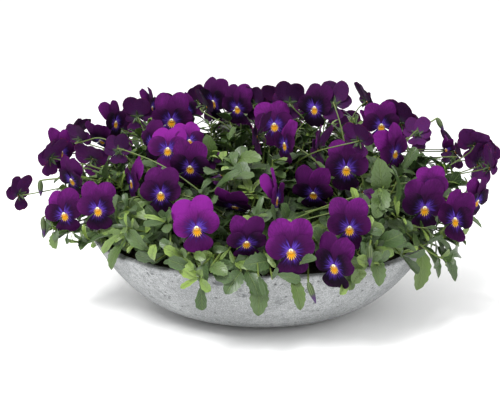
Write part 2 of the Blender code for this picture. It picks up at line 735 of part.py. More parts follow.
def build():
    clear_scene()
    planter = new_collection("potted_viola_planter")
    cutters = new_collection("cutters_and_guides")
    concrete = finish_material("cast_concrete", (0.44, 0.45, 0.45), 0.8)
    earth = finish_material("potting_soil", (0.025, 0.018, 0.013), 0.95)
    green = finish_material("leaf_green", (0.09, 0.18, 0.05), 0.55)
    violet = finish_material("petal_violet", (0.13, 0.012, 0.16), 0.6)

    bowl = make_bowl(planter, concrete)
    soil = make_soil(planter, cutters, earth)
    nodes, seats = make_blooms(planter, violet)
    bloom_trees = [tree_of(node.data, node.matrix_world) for node in nodes]

    plants = []
    for number, (x, y) in enumerate(CROWNS):
        crown = make_crown(f"crown_{number + 1}", x, y, planter, green)
        plants.append({"number": number, "pieces": [crown], "trees": [tree_of(crown.data)]})
    outline = triangle_outline(cutters)
    vessel = [tree_of(evaluated_mesh(bowl)), tree_of(evaluated_mesh(soil))]
    views = [free_view(place.translation, place.to_3x3() @ Vector((0, 0, 1)), size) for place, _, size in seats]
    grow_stalks(seats, bloom_trees, views, plants, outline, planter)
    grow_buds(bloom_trees, views, plants, outline, planter)
    grow_leaves(bloom_trees + vessel, views, plants, planter)
    for plant in plants:
        fuse(f"viola_plant_{plant['number'] + 1}", plant["pieces"], planter, green)


build()
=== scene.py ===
"""Six violas in full flower in a shallow cast bowl of potting soil.

Lengths are in metres and +Z is up, with the origin at the middle of the bowl's foot and
-Y to the front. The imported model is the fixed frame: each of its solids is replaced here
by a finer piece of the same form in the same place.
"""

import itertools
import math

import bmesh
import bpy
import numpy as np
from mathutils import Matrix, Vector
from mathutils.bvhtree import BVHTree


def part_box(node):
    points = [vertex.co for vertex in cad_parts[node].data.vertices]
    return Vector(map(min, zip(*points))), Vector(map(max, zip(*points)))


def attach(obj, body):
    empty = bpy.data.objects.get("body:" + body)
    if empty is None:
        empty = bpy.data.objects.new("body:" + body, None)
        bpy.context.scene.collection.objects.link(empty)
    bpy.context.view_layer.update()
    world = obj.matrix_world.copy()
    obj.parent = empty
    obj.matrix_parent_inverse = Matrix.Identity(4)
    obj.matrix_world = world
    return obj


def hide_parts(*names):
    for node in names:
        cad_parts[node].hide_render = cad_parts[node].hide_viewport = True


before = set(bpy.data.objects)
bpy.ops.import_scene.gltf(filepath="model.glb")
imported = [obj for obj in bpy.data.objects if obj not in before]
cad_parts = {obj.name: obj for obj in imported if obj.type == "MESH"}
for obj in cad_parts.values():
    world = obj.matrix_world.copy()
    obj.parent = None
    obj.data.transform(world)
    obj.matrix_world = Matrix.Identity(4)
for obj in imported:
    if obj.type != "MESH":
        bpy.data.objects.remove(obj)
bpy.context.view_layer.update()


# ------------------------------------------------------------------------------- bowl
# The planter is one thin-walled bowl, cast in light grey concrete round a mould and sold
# unglazed. Its skin keeps the fine grain of the mix, small bug holes and a few grey
# blotches, and the top of its wall is dressed to a plain rim with worn edges.

BOWL_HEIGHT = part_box("bowl")[1].z
RIM_RADIUS = 0.168
FOOT_RADIUS = 0.060
SWELL_POWER = 1.0 / 2.6
WALL = 0.009
FLOOR = 0.010
LIP_ROUND = 0.0018
LIP_HEIGHT = BOWL_HEIGHT - LIP_ROUND        # of the middles of the lip's rounded edges
BOWL_AROUND = 192
WALL_ROWS = 46
RIM_WAVES = ((0.0005, 3, 0.7), (0.0004, 5, 2.1))    # height, number round the rim, start


class Value:
    """A number, place or colour that varies over a finish: the output of a shader node.
    Its sums, differences, products and steps add the nodes that work them out."""

    def __init__(self, socket):
        self.socket = socket
        self.tree = socket.id_data

    def calc(self, operation, other=0.0):
        """One Math node on this value and another one."""
        made = node(self.tree, "ShaderNodeMath", {0: self, 1: other}, operation=operation)
        return Value(made.outputs[0])

    def __add__(self, other):
        return self.calc("ADD", other)

    def __sub__(self, other):
        return self.calc("SUBTRACT", other)

    def __mul__(self, other):
        return self.calc("MULTIPLY", other)

    def step(self, low, high):
        """A smooth step: 0 up to low and 1 from high, or the other way round."""
        inputs = {"Value": self, "From Min": low, "From Max": high}
        made = node(self.tree, "ShaderNodeMapRange", inputs, interpolation_type="SMOOTHSTEP")
        return Value(made.outputs["Result"])


def node(tree, kind, inputs=None, **settings):
    """Adds a shader node, sets its options, and fills its sockets with numbers or values."""
    made = tree.nodes.new(kind)
    for key, setting in settings.items():
        setattr(made, key, setting)
    for key, given in (inputs or {}).items():
        if isinstance(given, Value):
            tree.links.new(given.socket, made.inputs[key])
        else:
            made.inputs[key].default_value = given
    return made


def new_material(name, roughness, **sockets):
    """An empty material with a Principled shader whose plain values are set on its sockets.
    Gives the material, its shader and the place on the piece."""
    made = bpy.data.materials.new(name)
    made.use_nodes = True
    shader = made.node_tree.nodes["Principled BSDF"]
    shader.inputs["Roughness"].default_value = roughness
    for key, setting in sockets.items():
        shader.inputs[key.replace("_", " ")].default_value = setting
    return made, shader, Value(node(made.node_tree, "ShaderNodeTexCoord").outputs["Object"])


def noise(place, scale, detail=3.0, roughness=0.55):
    """A cloud pattern from 0 to 1."""
    inputs = {"Vector": place, "Scale": scale, "Detail": detail, "Roughness": roughness}
    return Value(node(place.tree, "ShaderNodeTexNoise", inputs).outputs["Fac"])


def stretched(place, scale):
    """A pattern's place, scaled along each axis."""
    made = node(place.tree, "ShaderNodeMapping", {"Vector": place, "Scale": scale})
    return Value(made.outputs["Vector"])


def spots(place, scale, channel, edge, chosen):
    """Round spots at the middles of random cells, of which only the chosen ones show."""
    cells = node(place.tree, "ShaderNodeTexVoronoi", {"Vector": place, "Scale": scale})
    drawn = node(place.tree, "ShaderNodeSeparateColor", {"Color": Value(cells.outputs["Color"])})
    spot = Value(cells.outputs["Distance"]).step(*edge)
    return spot * Value(drawn.outputs[channel]).step(*chosen)


def coat(under, over, share):
    """One colour laid over another by a share from 0 to 1."""
    under, over = ((*colour, 1.0) if isinstance(colour, tuple) else colour
                   for colour in (under, over))
    made = node(share.tree, "ShaderNodeMix", {0: share, 6: under, 7: over}, data_type="RGBA")
    return Value(made.outputs[2])


def dress(shader, colour, height=None, depth=0.0):
    """Gives a finish its colour, and raises it by a height pattern of a full depth."""
    tree = shader.id_data
    tree.links.new(colour.socket, shader.inputs["Base Color"])
    if height:
        inputs = {"Height": height, "Distance": depth, "Strength": 1.0}
        raised = node(tree, "ShaderNodeBump", inputs)
        tree.links.new(raised.outputs["Normal"], shader.inputs["Normal"])


def grid_quads(count, rows, columns):
    """Quads between neighbouring points of equal grids, numbered grid by grid and row by
    row, where the last column joins the first."""
    row, column = np.meshgrid(np.arange(rows - 1), np.arange(columns), indexing="ij")
    after = (column + 1) % columns
    quads = np.stack([row * columns + column, row * columns + after,
                      (row + 1) * columns + after, (row + 1) * columns + column], axis=-1)
    starts = np.arange(count)[:, None, None] * rows * columns
    return (quads.reshape(1, -1, 4) + starts).reshape(-1, 4)


def sheaf(points, uv=(0.0, 0.0), tone=0.5, finish=0):
    """One bundle for a mesh: grids of points (count, rows, columns, 3), with a flat place
    uv, a tone and a finish number for each point or face, or one for all."""
    shape = points.shape[:3]
    quads = grid_quads(*shape)
    uv = np.broadcast_to(uv, shape + (2,)).reshape(-1, 2)
    tone = np.broadcast_to(tone, shape).reshape(-1)
    return points.reshape(-1, 3), quads, uv, tone, np.broadcast_to(finish, len(quads))


def put_mesh(name, bundles, materials, sharp=180.0):
    """Makes one object from bundles, closes its seams and poles, and smooths its faces
    but for edges that are sharper than an angle in degrees."""
    starts = np.cumsum([0] + [len(bundle[0]) for bundle in bundles[:-1]])
    quads = np.concatenate([bundle[1] + start for bundle, start in zip(bundles, starts)])
    points, uvs, tones, finishes = (
        np.concatenate([bundle[part] for bundle in bundles]) for part in (0, 2, 3, 4))
    mesh = bpy.data.meshes.new(name)
    mesh.vertices.add(len(points))
    mesh.vertices.foreach_set("co", points.astype(np.float32).ravel())
    mesh.loops.add(quads.size)
    mesh.loops.foreach_set("vertex_index", quads.astype(np.int32).ravel())
    mesh.polygons.add(len(quads))
    mesh.polygons.foreach_set("loop_start", np.arange(0, quads.size, 4, dtype=np.int32))
    mesh.update(calc_edges=True)
    mesh.polygons.foreach_set("material_index", finishes.astype(np.int32))
    layer = mesh.uv_layers.new(name="flat")
    layer.data.foreach_set("uv", uvs[quads.ravel()].astype(np.float32).ravel())
    layer = mesh.attributes.new("tone", "FLOAT", "POINT")
    layer.data.foreach_set("value", tones.astype(np.float32))
    closing = bmesh.new()
    closing.from_mesh(mesh)
    bmesh.ops.remove_doubles(closing, verts=closing.verts[:], dist=1e-7)
    bmesh.ops.dissolve_degenerate(closing, edges=closing.edges[:], dist=1e-8)
    closing.to_mesh(mesh)
    closing.free()
    mesh.shade_smooth()
    if sharp < 180.0:
        mesh.set_sharp_from_angle(angle=math.radians(sharp))
    for material in materials:
        mesh.materials.append(material)
    made = bpy.data.objects.new(name, mesh)
    bpy.context.scene.collection.objects.link(made)
    return made


def turned_surface(profile, around):
    """A profile (radius, height) that runs up its outer side, turned round +Z: a point
    (r, z) goes to (r cos a, r sin a, z) for each angle a."""
    angle = np.linspace(0.0, 2 * np.pi, around, endpoint=False)
    radius, height = np.array(profile).T[..., None]
    points = np.stack([radius * np.cos(angle), radius * np.sin(angle), height + 0 * angle], axis=-1)
    return points[None]


def wall_radius(height, floor=0.0, wall=0.0):
    """Radius of the bowl's outside, or of its inside above a floor and a wall's thickness
    in: it grows from the foot with the height to the power 1 / 2.6."""
    foot, rim = FOOT_RADIUS - wall, RIM_RADIUS - wall
    rise = np.clip((height - floor) / (LIP_HEIGHT - floor), 0.0, 1.0)
    return foot + (rim - foot) * rise ** SWELL_POWER


def lip_corner(radius, start, end):
    """Points on a quarter round of the lip, between two angles in degrees."""
    angle = np.radians(np.linspace(start, end, 5))
    return list(zip(radius + LIP_ROUND * np.cos(angle), LIP_HEIGHT + LIP_ROUND * np.sin(angle)))


rise = np.linspace(0.0, 1.0, WALL_ROWS) ** 2.2
outer_height = rise * LIP_HEIGHT
inner_height = FLOOR + rise[::-1] * (LIP_HEIGHT - FLOOR)
bowl_profile = [(0.0, 0.0), (FOOT_RADIUS * 0.5, 0.0), (FOOT_RADIUS * 0.97, 0.0)]
bowl_profile += list(zip(wall_radius(outer_height), outer_height))
bowl_profile += lip_corner(RIM_RADIUS - LIP_ROUND, 8, 90)
bowl_profile += lip_corner(RIM_RADIUS - WALL + LIP_ROUND, 90, 172)
bowl_profile += list(zip(wall_radius(inner_height, FLOOR, WALL), inner_height))
bowl_profile += [(0.0, FLOOR)]
bowl_points = turned_surface(bowl_profile, BOWL_AROUND)
bowl_turn = np.linspace(0.0, 2 * np.pi, BOWL_AROUND, endpoint=False)
hand_made = sum(height * np.sin(number * bowl_turn + start) for height, number, start in RIM_WAVES)
bowl_points[..., 2] += hand_made * np.clip(bowl_points[..., 2] / BOWL_HEIGHT, 0.0, 1.0) ** 2

concrete, shader, place = new_material("cast_concrete", 0.82, Specular_IOR_Level=0.3)
clouds = noise(place, 14.0, 4.0)
grain = noise(place, 900.0, 2.0, 0.7)
mottle = noise(place, 190.0, 3.0, 0.65)
runs = noise(stretched(place, (75.0, 75.0, 13.0)), 1.0, 3.0, 0.6)
blotch = spots(stretched(place, (1.0, 1.0, 1.7)), 52.0, 0, (0.36, 0.20), (0.74, 0.80))
blotch = blotch * mottle.step(0.40, 0.54)
hole = spots(place, 170.0, 1, (0.30, 0.12), (0.74, 0.78))
# Clouds of cement, then darker mottle, dark and pale grains of sand, runs and blotches of
# damp, and painted shade in the bug holes
colour = coat((0.235, 0.243, 0.246), (0.325, 0.334, 0.338), clouds.step(0.35, 0.68))
colour = coat(colour, (0.205, 0.213, 0.216), mottle.step(0.44, 0.66))
colour = coat(colour, (0.115, 0.120, 0.123), grain.step(0.52, 0.68) * 0.75)
colour = coat(colour, (0.470, 0.480, 0.480), grain.step(0.46, 0.32) * 0.7)
colour = coat(colour, (0.170, 0.178, 0.182), runs.step(0.54, 0.72) * 0.5)
colour = coat(colour, (0.090, 0.096, 0.099), blotch * 0.85)
# Painted shade: the bug holes are darkened where shade falls inside them
colour = coat(colour, (0.060, 0.063, 0.066), hole * 0.7)
dress(shader, colour, grain * 0.35 + mottle * 0.3 - hole, 0.0006)

bowl = put_mesh("cast_bowl", [sheaf(bowl_points)], [concrete])
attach(bowl, "root")
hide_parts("bowl")


# ------------------------------------------------------------------------------- soil
# Potting soil fills the bowl to just under its rim. It is dark, damp and crumbly: a
# lumpy surface, with loose crumbs of peat and bark lying on it.

SOIL_EDGE = 0.067
SOIL_CROWN = 0.071
SOIL_GAP = 0.0008
SOIL_AROUND = 200
SIDE_ROWS = 14
TOP_ROWS = 64
SOIL_LUMPS = ((0.0012, 2), (0.0016, 7))     # height, and how many times smoothed
CRUMBS = 700
CRUMB_SIZE = (0.0009, 0.0030)
CRUMB_SEAT = 0.0006                         # a crumb's middle above the soil

draws = np.random.default_rng(11)


def rough_field(smooth):
    """Random heights from -1 to 1 over the soil's top, closed round its columns, each the
    mean of its neighbours a few times over."""
    field = draws.uniform(-1.0, 1.0, (TOP_ROWS, SOIL_AROUND))
    for _ in range(smooth):
        field = (field + np.roll(field, 1, 1) + np.roll(field, -1, 1)) / 3
        padded = np.pad(field, ((1, 1), (0, 0)), mode="edge")
        field = (padded[:-2] + field + padded[2:]) / 3
    return field / np.abs(field).max()


def soil_level(share):
    """Height of the soil: it falls towards its edge with the cube of the radius's share."""
    return SOIL_CROWN - (SOIL_CROWN - SOIL_EDGE) * share ** 3


def lump_surfaces(centres, radii, rows=5, columns=6, rough=0.0):
    """Rounded lumps: points of an ellipsoid at each latitude and longitude, with each
    point's distance from the middle varied a little."""
    latitude = np.linspace(-np.pi / 2, np.pi / 2, rows)[:, None]
    longitude = np.linspace(0, 2 * np.pi, columns, endpoint=False)[None, :]
    ball = np.stack([np.cos(latitude) * np.cos(longitude), np.cos(latitude) * np.sin(longitude),
                     np.sin(latitude) + 0 * longitude], axis=-1)
    swollen = 1.0 + rough * draws.uniform(-1, 1, (len(centres), rows, columns, 1))
    swollen[:, (0, -1)] = 1.0
    return centres[:, None, None] + ball * swollen * radii[:, None, None]


bottom = FLOOR + SOIL_GAP
side_height = bottom + np.linspace(0.0, 1.0, SIDE_ROWS) ** 2 * (SOIL_EDGE - bottom)
side_radius = wall_radius(side_height, FLOOR, WALL) - SOIL_GAP
edge_radius = side_radius[-1]
top_share = np.linspace(1.0, 0.0, TOP_ROWS)
soil_profile = [(0.0, bottom)] + list(zip(side_radius, side_height))[:-1]
soil_profile += list(zip(top_share * edge_radius, soil_level(top_share)))
soil_points = turned_surface(soil_profile, SOIL_AROUND)
lumps = sum(height * rough_field(smooth) for height, smooth in SOIL_LUMPS)
lumps[0] *= 0.2
lumps[-1] = lumps[-1].mean()
soil_points[0, SIDE_ROWS:, :, 2] += lumps

crumb_turn = draws.uniform(0, 2 * np.pi, CRUMBS)
crumb_reach = edge_radius * 0.985 * np.sqrt(draws.uniform(0, 1, CRUMBS))
crumb_size = draws.uniform(*CRUMB_SIZE, (CRUMBS, 1)) * draws.uniform(0.55, 1.0, (CRUMBS, 3))
crumb_centres = np.stack([crumb_reach * np.cos(crumb_turn), crumb_reach * np.sin(crumb_turn),
                          soil_level(crumb_reach / edge_radius) + CRUMB_SEAT], axis=-1)
crumb_tone = draws.uniform(0, 1, (CRUMBS, 1, 1))
crumbs = lump_surfaces(crumb_centres, crumb_size, rough=0.25)


def tone_of(shader):
    """The tone that a piece's mesh carries at each point."""
    made = node(shader.id_data, "ShaderNodeAttribute", attribute_name="tone")
    return Value(made.outputs["Fac"])


earth, shader, place = new_material("potting_soil", 0.92, Specular_IOR_Level=0.25)
fine = noise(place, 420.0, 4.0, 0.7)
colour = coat((0.010, 0.007, 0.005), (0.050, 0.033, 0.022), fine)
colour = coat(colour, (0.085, 0.055, 0.034), tone_of(shader).step(0.70, 0.95))
dress(shader, colour, fine, 0.0012)

soil_bundles = [sheaf(soil_points, tone=0.3), sheaf(crumbs, tone=crumb_tone)]
soil = put_mesh("potting_soil", soil_bundles, [earth])
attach(soil, "root")
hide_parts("soil")


# ----------------------------------------------------------------------------- blooms
# A viola bloom has five velvety petals in layers round a short throat: two round upper
# ones behind, one at each side, and a broad lower lip. A violet star spreads from the
# throat over the side petals and the lip, with an orange eye and two white beards.

# One line for each node of petals. A bloom: eye (x, y, z) in mm, turn of its face from the
# front towards +X, nod upward, lean of its top to its own right, size, open or furled, and
# how bright it is, where the darkest are at 0 and a little below: partly the bloom's own
# colour and partly painted shade on blooms that sit in shadow
BLOOMS = [
    [(-239, -12, 111, -125, -5, 0, 0.74, 1, 0.35)],
    [(-202, -38, 153, -120, 10, 0, 0.83, 1, 0.60), (-194, -23, 156, 55, 0, -15, 0.83, 1, 0.40)],
    [(-179, 2, 163, 150, 10, 0, 0.70, 1, 0.30), (-167, 0, 144, 165, 20, 0, 0.87, 1, 0.75)],
    [(-161, 20, 159, -25, -45, 0, 0.78, 1, 0.02), (-146, 21, 177, 60, 0, 0, 0.80, 1, 0.00)],
    [(-179, -60, 137, -40, -20, 0, 0.83, 1, 0.10)],
    [(-184, -80, 109, -12, 5, 14, 0.89, 1, 0.34)],
    [(-150, -100, 119, -8, 5, 6, 0.93, 1, 0.36)],
    [(-137, -40, 160, -170, -30, 0, 0.61, 1, 0.10)],
    [(-128, 60, 176, 180, 0, 0, 0.83, 1, 0.30), (-114, 75, 183, 75, 0, 0, 0.78, 1, 0.05)],
    [(-90, 20, 179, 0, -5, 0, 1.00, 1, 0.12), (-74, 32, 186, 60, 10, 0, 0.74, 1, 0.20)],
    [(-90, -40, 162, -5, 25, 0, 0.91, 1, 0.80), (-70, -29, 168, 20, 20, 0, 0.74, 1, 0.60),
     (-108, -12, 163, -50, 0, 0, 0.83, 1, 0.15)],
    [(-68, -60, 149, -8, -12, 0, 0.91, 1, 0.20)],
    [(-123, -60, 135, -65, 0, -10, 0.91, 1, 0.40)],
    [(-93, -95, 132, -5, 10, 0, 0.91, 1, 0.12)],
    [(-57, 68, 185, 120, 10, 0, 0.74, 1, 0.00), (-50, 68, 190, -40, 0, 0, 0.96, 1, -0.15)],
    [(-49, -20, 150, 160, -30, 0, 0.65, 0, 0.35)],
    [(-39, -60, 142, -100, -60, 0, 0.65, 0, 0.30)],
    [(-25, 44, 188, -30, -10, 0, 0.87, 1, 0.02), (-7, 44, 191, 150, 0, 0, 0.74, 1, 0.10)],
    [(12, 18, 175, 5, 15, 5, 0.96, 1, 0.25), (28, 33, 195, 180, 0, 0, 0.83, 1, 0.15)],
    [(-5, -20, 171, -105, 0, 0, 0.91, 1, 0.30)],
    [(51, 0, 195, -35, 5, 0, 0.91, 1, -0.10), (70, -3, 199, 165, -35, 0, 0.84, 1, 0.20)],
    [(21, -40, 167, -60, 0, 0, 0.87, 1, 0.28)],
    [(53, -30, 160, -110, 0, 0, 0.91, 1, 0.55)],
    [(46, -85, 130, -15, -25, 0, 0.91, 1, 0.10)],
    [(78, -60, 148, -3, 8, 0, 1.00, 1, 0.18), (89, -59, 174, 150, 10, 0, 0.74, 1, 0.35)],
    [(110, 82, 188, 110, 10, 0, 0.83, 1, 0.10), (112, 64, 163, 80, 0, 0, 0.78, 1, 0.45)],
    [(122, 48, 169, 5, 5, 0, 0.91, 1, 0.20), (143, 60, 169, 145, 5, 0, 0.96, 1, 0.15)],
    [(128, -20, 155, 45, -5, 20, 0.96, 1, 0.45)],
    [(155, 20, 165, 170, -50, 0, 0.70, 1, 0.50)],
    [(187, 38, 146, 20, 30, 0, 0.61, 0, 0.20), (191, 22, 140, -160, -20, 0, 0.65, 0, 0.10)],
    [(214, 28, 152, 170, 20, 0, 0.87, 1, 0.75), (227, 37, 141, 150, 10, 0, 0.83, 1, 0.40),
     (218, 24, 135, -150, 0, 0, 0.83, 1, 0.35), (226, 7, 134, 100, -10, 0, 0.80, 1, 0.50)],
    [(208, -30, 109, 45, -15, 0, 0.85, 1, 0.15)],
    [(148, -89, 117, 3, 0, 0, 1.00, 1, 0.20), (155, -81, 135, 0, 20, 0, 0.78, 1, 0.60)],
    [(173, -110, 112, -50, 0, 0, 0.98, 1, 0.22)],
    [(-58, -155, 116, 5, 12, 8, 1.00, 1, 0.85)],
    [(-26, -120, 127, -20, -55, 0, 0.87, 1, 0.15)],
    [(-15, -160, 105, 5, -22, 0, 0.87, 1, 0.20)],
    [(12, -110, 131, 75, 0, 0, 0.96, 1, 0.75)],
    [(23, -170, 100, -5, 8, 5, 1.04, 1, 0.50)],
    [(59, -181, 90, -36, -8, 0, 1.00, 1, 0.10)],
    [(74, -150, 115, 3, 2, 0, 0.96, 1, 0.32)],
    [(90, -95, 134, 90, -30, 0, 0.65, 0, 0.40)],
    [(-150, 110, 150, -160, 10, 0, 0.91, 1, 0.40)],
    [(-95, 150, 165, 170, 15, 0, 0.96, 1, 0.20), (-70, 138, 180, -150, 20, 0, 0.87, 1, 0.50)],
    [(-30, 175, 140, 180, 10, 5, 1.00, 1, 0.60)],
    [(20, 150, 175, 165, 20, 0, 0.96, 1, 0.30), (37, 142, 163, -170, 5, 0, 0.91, 1, 0.50)],
    [(95, 160, 145, 175, 12, -5, 1.00, 1, 0.70)],
    [(150, 110, 160, 150, 10, 0, 0.91, 1, 0.20), (170, 99, 149, 120, 0, 0, 0.87, 1, 0.40)],
    [(-195, 60, 155, -120, 15, 0, 0.91, 1, 0.30)],
    [(60, 190, 118, 170, 0, 0, 0.87, 1, 0.50)],
    [(-90, 185, 110, -165, 0, 0, 0.91, 1, 0.60), (-112, 178, 120, 170, 10, 0, 0.83, 1, 0.20)],
    [(200, 58, 140, 105, 15, 0, 0.91, 1, 0.40)],
]

# A petal: heading round the eye, tilt forward, length, half width, droop at its tip, form
OPEN_PETALS = [
    (65, -9, 0.0285, 0.0112, 0.003, "upper"),
    (115, -17, 0.0285, 0.0112, 0.003, "upper"),
    (20, 9, 0.0210, 0.0102, 0.002, "side"),
    (160, 6, 0.0210, 0.0102, 0.002, "side"),
    (270, 4, 0.0205, 0.0130, 0.004, "lip"),
]
FURLED_PETALS = [
    (63, 58, 0.0240, 0.0064, 0.0, "upper"),
    (117, 50, 0.0250, 0.0064, 0.0, "upper"),
    (1, 56, 0.0180, 0.0056, 0.0, "side"),
    (179, 52, 0.0180, 0.0056, 0.0, "side"),
    (270, 40, 0.0190, 0.0072, 0.0, "lip"),
]
# A form: width at the throat, share of the length where the width is full, depth of the
# rounded tip, notch in the tip
PETAL_FORMS = {
    "upper": (0.17, 0.78, 0.42, 0.00),
    "side": (0.28, 0.76, 0.46, 0.00),
    "lip": (0.18, 0.98, 0.36, 0.07),
}
PETAL_START = 0.00152           # from the middle of the throat
PETAL_THICK = 0.0005
PETAL_CURL = (-0.0028, 0.0012)
PETAL_RUFFLE = (0.0005, 0.0013)
FINE_RUFFLE = 0.0004
PETAL_ROWS = 13
PETAL_COLUMNS = 11
FLAT_SPAN = 0.064               # of the flattened bloom, which fills its UV square
PETAL_SHARP = 75.0


def bloom_frame(x, y, z, turn, nod, lean):
    """A bloom's eye, and its own axes as the columns of a matrix: across, up and face."""
    turn, nod, lean = (math.radians(angle) for angle in (turn, nod, lean))
    face = np.array([math.sin(turn) * math.cos(nod), -math.cos(turn) * math.cos(nod),
                     math.sin(nod)])
    right = np.array([-face[1], face[0], 0.0])
    right /= np.linalg.norm(right)
    top = np.cross(face, right)
    across = right * math.cos(lean) + top * math.sin(lean)
    up = top * math.cos(lean) - right * math.sin(lean)
    return np.array([x, y, z]) * 0.001, np.stack([across, up, face], axis=1)


def two_skins(middle, shift, uv):
    """Closes a thin blade: its middle surface is moved by a shift to each side, and the
    columns run over its front and back over its other side. Gives points and flat places."""
    back = slice(-2, 0, -1)
    shell = np.concatenate([middle + shift, (middle - shift)[..., back, :]], axis=-2)
    return shell, np.concatenate([uv, uv[..., back, :]], axis=-2)


def petal_shell(petal, size, draws):
    """One petal as a closed thin shell. Its middle surface runs out s from 0 at the throat
    to 1 at the tip and across t from -1 to 1: a fan with a half-round tip, whose height
    follows its tilt less a drooping square of s, plus a curl with the square of t and a
    ruffle that waves along the rim. Returns points and their flattened place."""
    heading, tilt, reach, half, droop, form = petal
    base, full, corner, notch = PETAL_FORMS[form]
    s = np.linspace(0.0, 1.0, PETAL_ROWS)[:, None] ** 0.9
    swing = np.linspace(1.0, -1.0, PETAL_COLUMNS)[None, :] * 0.5 * np.pi
    t = np.sin(swing)
    opened = np.clip(s / full, 0.0, 1.0) ** 1.3
    width = base + (1 - base) * opened * (2 - opened)
    length = 1.02 - corner * (1 - np.cos(swing)) - notch * np.exp(-(t / 0.2) ** 2)
    start = PETAL_START * size
    out = start + (reach * draws.uniform(0.96, 1.04) * length * size - start) * s
    side = half * draws.uniform(0.90, 1.06) * size * width * t
    lean = math.radians(tilt + draws.uniform(-4, 4))
    share = out / (reach * size)
    rim = size * s ** 2.5
    lift = (out - start) * math.sin(lean)
    lift = lift - droop * size * np.clip((share - 0.3) / 0.7, 0, None) ** 2
    lift = lift + draws.uniform(*PETAL_CURL) * size * t ** 2 * share
    ruffle = draws.uniform(*PETAL_RUFFLE) * rim
    lift = lift + ruffle * np.sin(draws.uniform(3.2, 5.2) * t + draws.uniform(0, 6.3))
    lift = lift + FINE_RUFFLE * rim * np.sin(9 * t + draws.uniform(0, 6.3))
    angle = math.radians(heading + draws.uniform(-3, 3))
    along = np.array([math.cos(angle), math.sin(angle)])
    across = np.array([-along[1], along[0]])
    run = start + (out - start) * math.cos(lean)
    flat = run[..., None] * along + side[..., None] * across
    uv = (out[..., None] * along + side[..., None] * across) / (size * FLAT_SPAN) + 0.5
    normal = np.array([*(-math.sin(lean) * along), math.cos(lean)])
    middle = np.concatenate([flat, lift[..., None]], axis=-1)
    thick = PETAL_THICK / 2 * (1 - t ** 8) * np.minimum(1.0, 6 * s) * (1 - s ** 10)
    return two_skins(middle, normal * thick[..., None], uv)


def petal_finish(form):
    """Finish numbers of a petal's faces: its own on the front, and that of the backs."""
    column = np.arange(2 * PETAL_COLUMNS - 2)
    front = list(PETAL_FORMS).index(form)
    return np.tile(np.where(column < PETAL_COLUMNS - 1, front, PETAL_BACK), PETAL_ROWS - 1)


def turned_to(points, axes, eye):
    """Carries points from a bloom's own axes into the frame."""
    return points @ axes.T + eye


def flat_parts(shader, span=None):
    """Across and along a piece's own flat square: each from 0 to 1, or measured from the
    middle of a square of a given span."""
    uv = Value(node(shader.id_data, "ShaderNodeUVMap", uv_map="flat").outputs["UV"])
    if span:
        middle = (-span / 2, -span / 2, 0.0)
        inputs = {"Vector": uv, "Location": middle, "Scale": (span, span, 1.0)}
        uv = Value(node(uv.tree, "ShaderNodeMapping", inputs).outputs["Vector"])
    parts = node(uv.tree, "ShaderNodeSeparateXYZ", {"Vector": uv})
    return Value(parts.outputs["X"]), Value(parts.outputs["Y"])


def round_the_eye(shader):
    """Where a point of the flattened bloom lies in mm: x, y, reach and heading."""
    x, y = flat_parts(shader, FLAT_SPAN * 1000)
    return x, y, (x * x + y * y).calc("SQRT"), y.calc("ARCTAN2", x)


def fibre_place(heading, reach, stretch, layer=0.0):
    """A place in which a cloud pattern draws out to fibres that run from the eye."""
    inputs = {"X": heading * 9.0, "Y": reach * stretch, "Z": layer}
    return Value(node(heading.tree, "ShaderNodeCombineXYZ", inputs).outputs["Vector"])


def petal_material(name, gain, star_reach, eye_share, whiskers):
    """Velvet petal: purple that deepens towards the throat and brightens at the rim, partly its
    own colour and partly painted shade in the throat and a painted velvet sheen at the rim,
    with fine darker fibres along it, a ragged violet star of a given reach, dark whisker lines
    and the orange eye."""
    made, shader, place = new_material(
        name, 0.80, Specular_IOR_Level=0.06, Sheen_Weight=0.02, Sheen_Roughness=0.30,
        Sheen_Tint=(0.75, 0.25, 0.90, 1.0), Subsurface_Weight=0.08, Subsurface_Scale=0.001,
        Subsurface_Radius=(1.0, 0.2, 1.0))
    tone = tone_of(shader)
    x, y, reach, heading = round_the_eye(shader)
    rays = fibre_place(heading, reach, 0.10, tone * 31.0)
    fibres = noise(rays, 2.4, 3.0, 0.6)
    beams = noise(rays, 0.9, 2.0, 0.6)
    patches = noise(place, 75.0, 2.0)
    # Purple: from nearly black at the throat to bright at the rim, partly the petal's own
    # colour and partly painted shade in the throat and painted velvet sheen at the rim
    share = tone + reach.step(3.0, 24.0) * 0.55 + gain
    share = share + (fibres - 0.5) * 0.50 + (patches - 0.5) * 0.45
    colour = coat((0.0040, 0.0008, 0.0056), (0.0360, 0.0030, 0.0420), share.step(-0.10, 0.65))
    colour = coat(colour, (0.1300, 0.0085, 0.1500), share.step(0.55, 1.30))
    # The violet star, whose edge is ragged, and the fine lines in it
    ragged = reach + (beams - 0.5) * 16.0
    violet = coat((0.024, 0.008, 0.090), (0.078, 0.034, 0.300),
                  ragged.step(star_reach, star_reach - 6.0))
    colour = coat(colour, violet, ragged.step(star_reach + 3.0, star_reach - 3.0))
    lines = fibres.step(0.50, 0.36) * reach.step(star_reach + 3.0, star_reach - 3.0)
    colour = coat(colour, (0.012, 0.002, 0.030), lines * whiskers)
    # The orange eye, with a toothed edge, and the whiskers that leave it downward
    low = (y + 2.5) * 0.92
    glow = (x * x + low * low).calc("SQRT")
    teeth = (heading * 21.0).calc("SINE")
    orange = coat((0.48, 0.28, 0.016), (0.44, 0.175, 0.005), glow.step(3.6, 0.8))
    colour = coat(colour, orange, (glow + teeth * 0.9).step(4.1, 2.9) * eye_share)
    whisker = teeth.step(0.20, 0.85) * glow.step(1.4, 2.6) * glow.step(7.5, 5.0)
    colour = coat(colour, (0.030, 0.004, 0.012), whisker * y.step(1.2, -0.4) * whiskers)
    dress(shader, colour, fibres, 0.0003)
    return made


upper_face = petal_material("upper_petal", 0.15, 3.4, 0.0, 0.3)
side_face = petal_material("side_petal", -0.14, 8.4, 0.9, 0.8)
lip_face = petal_material("lower_petal", -0.26, 9.2, 1.0, 0.9)

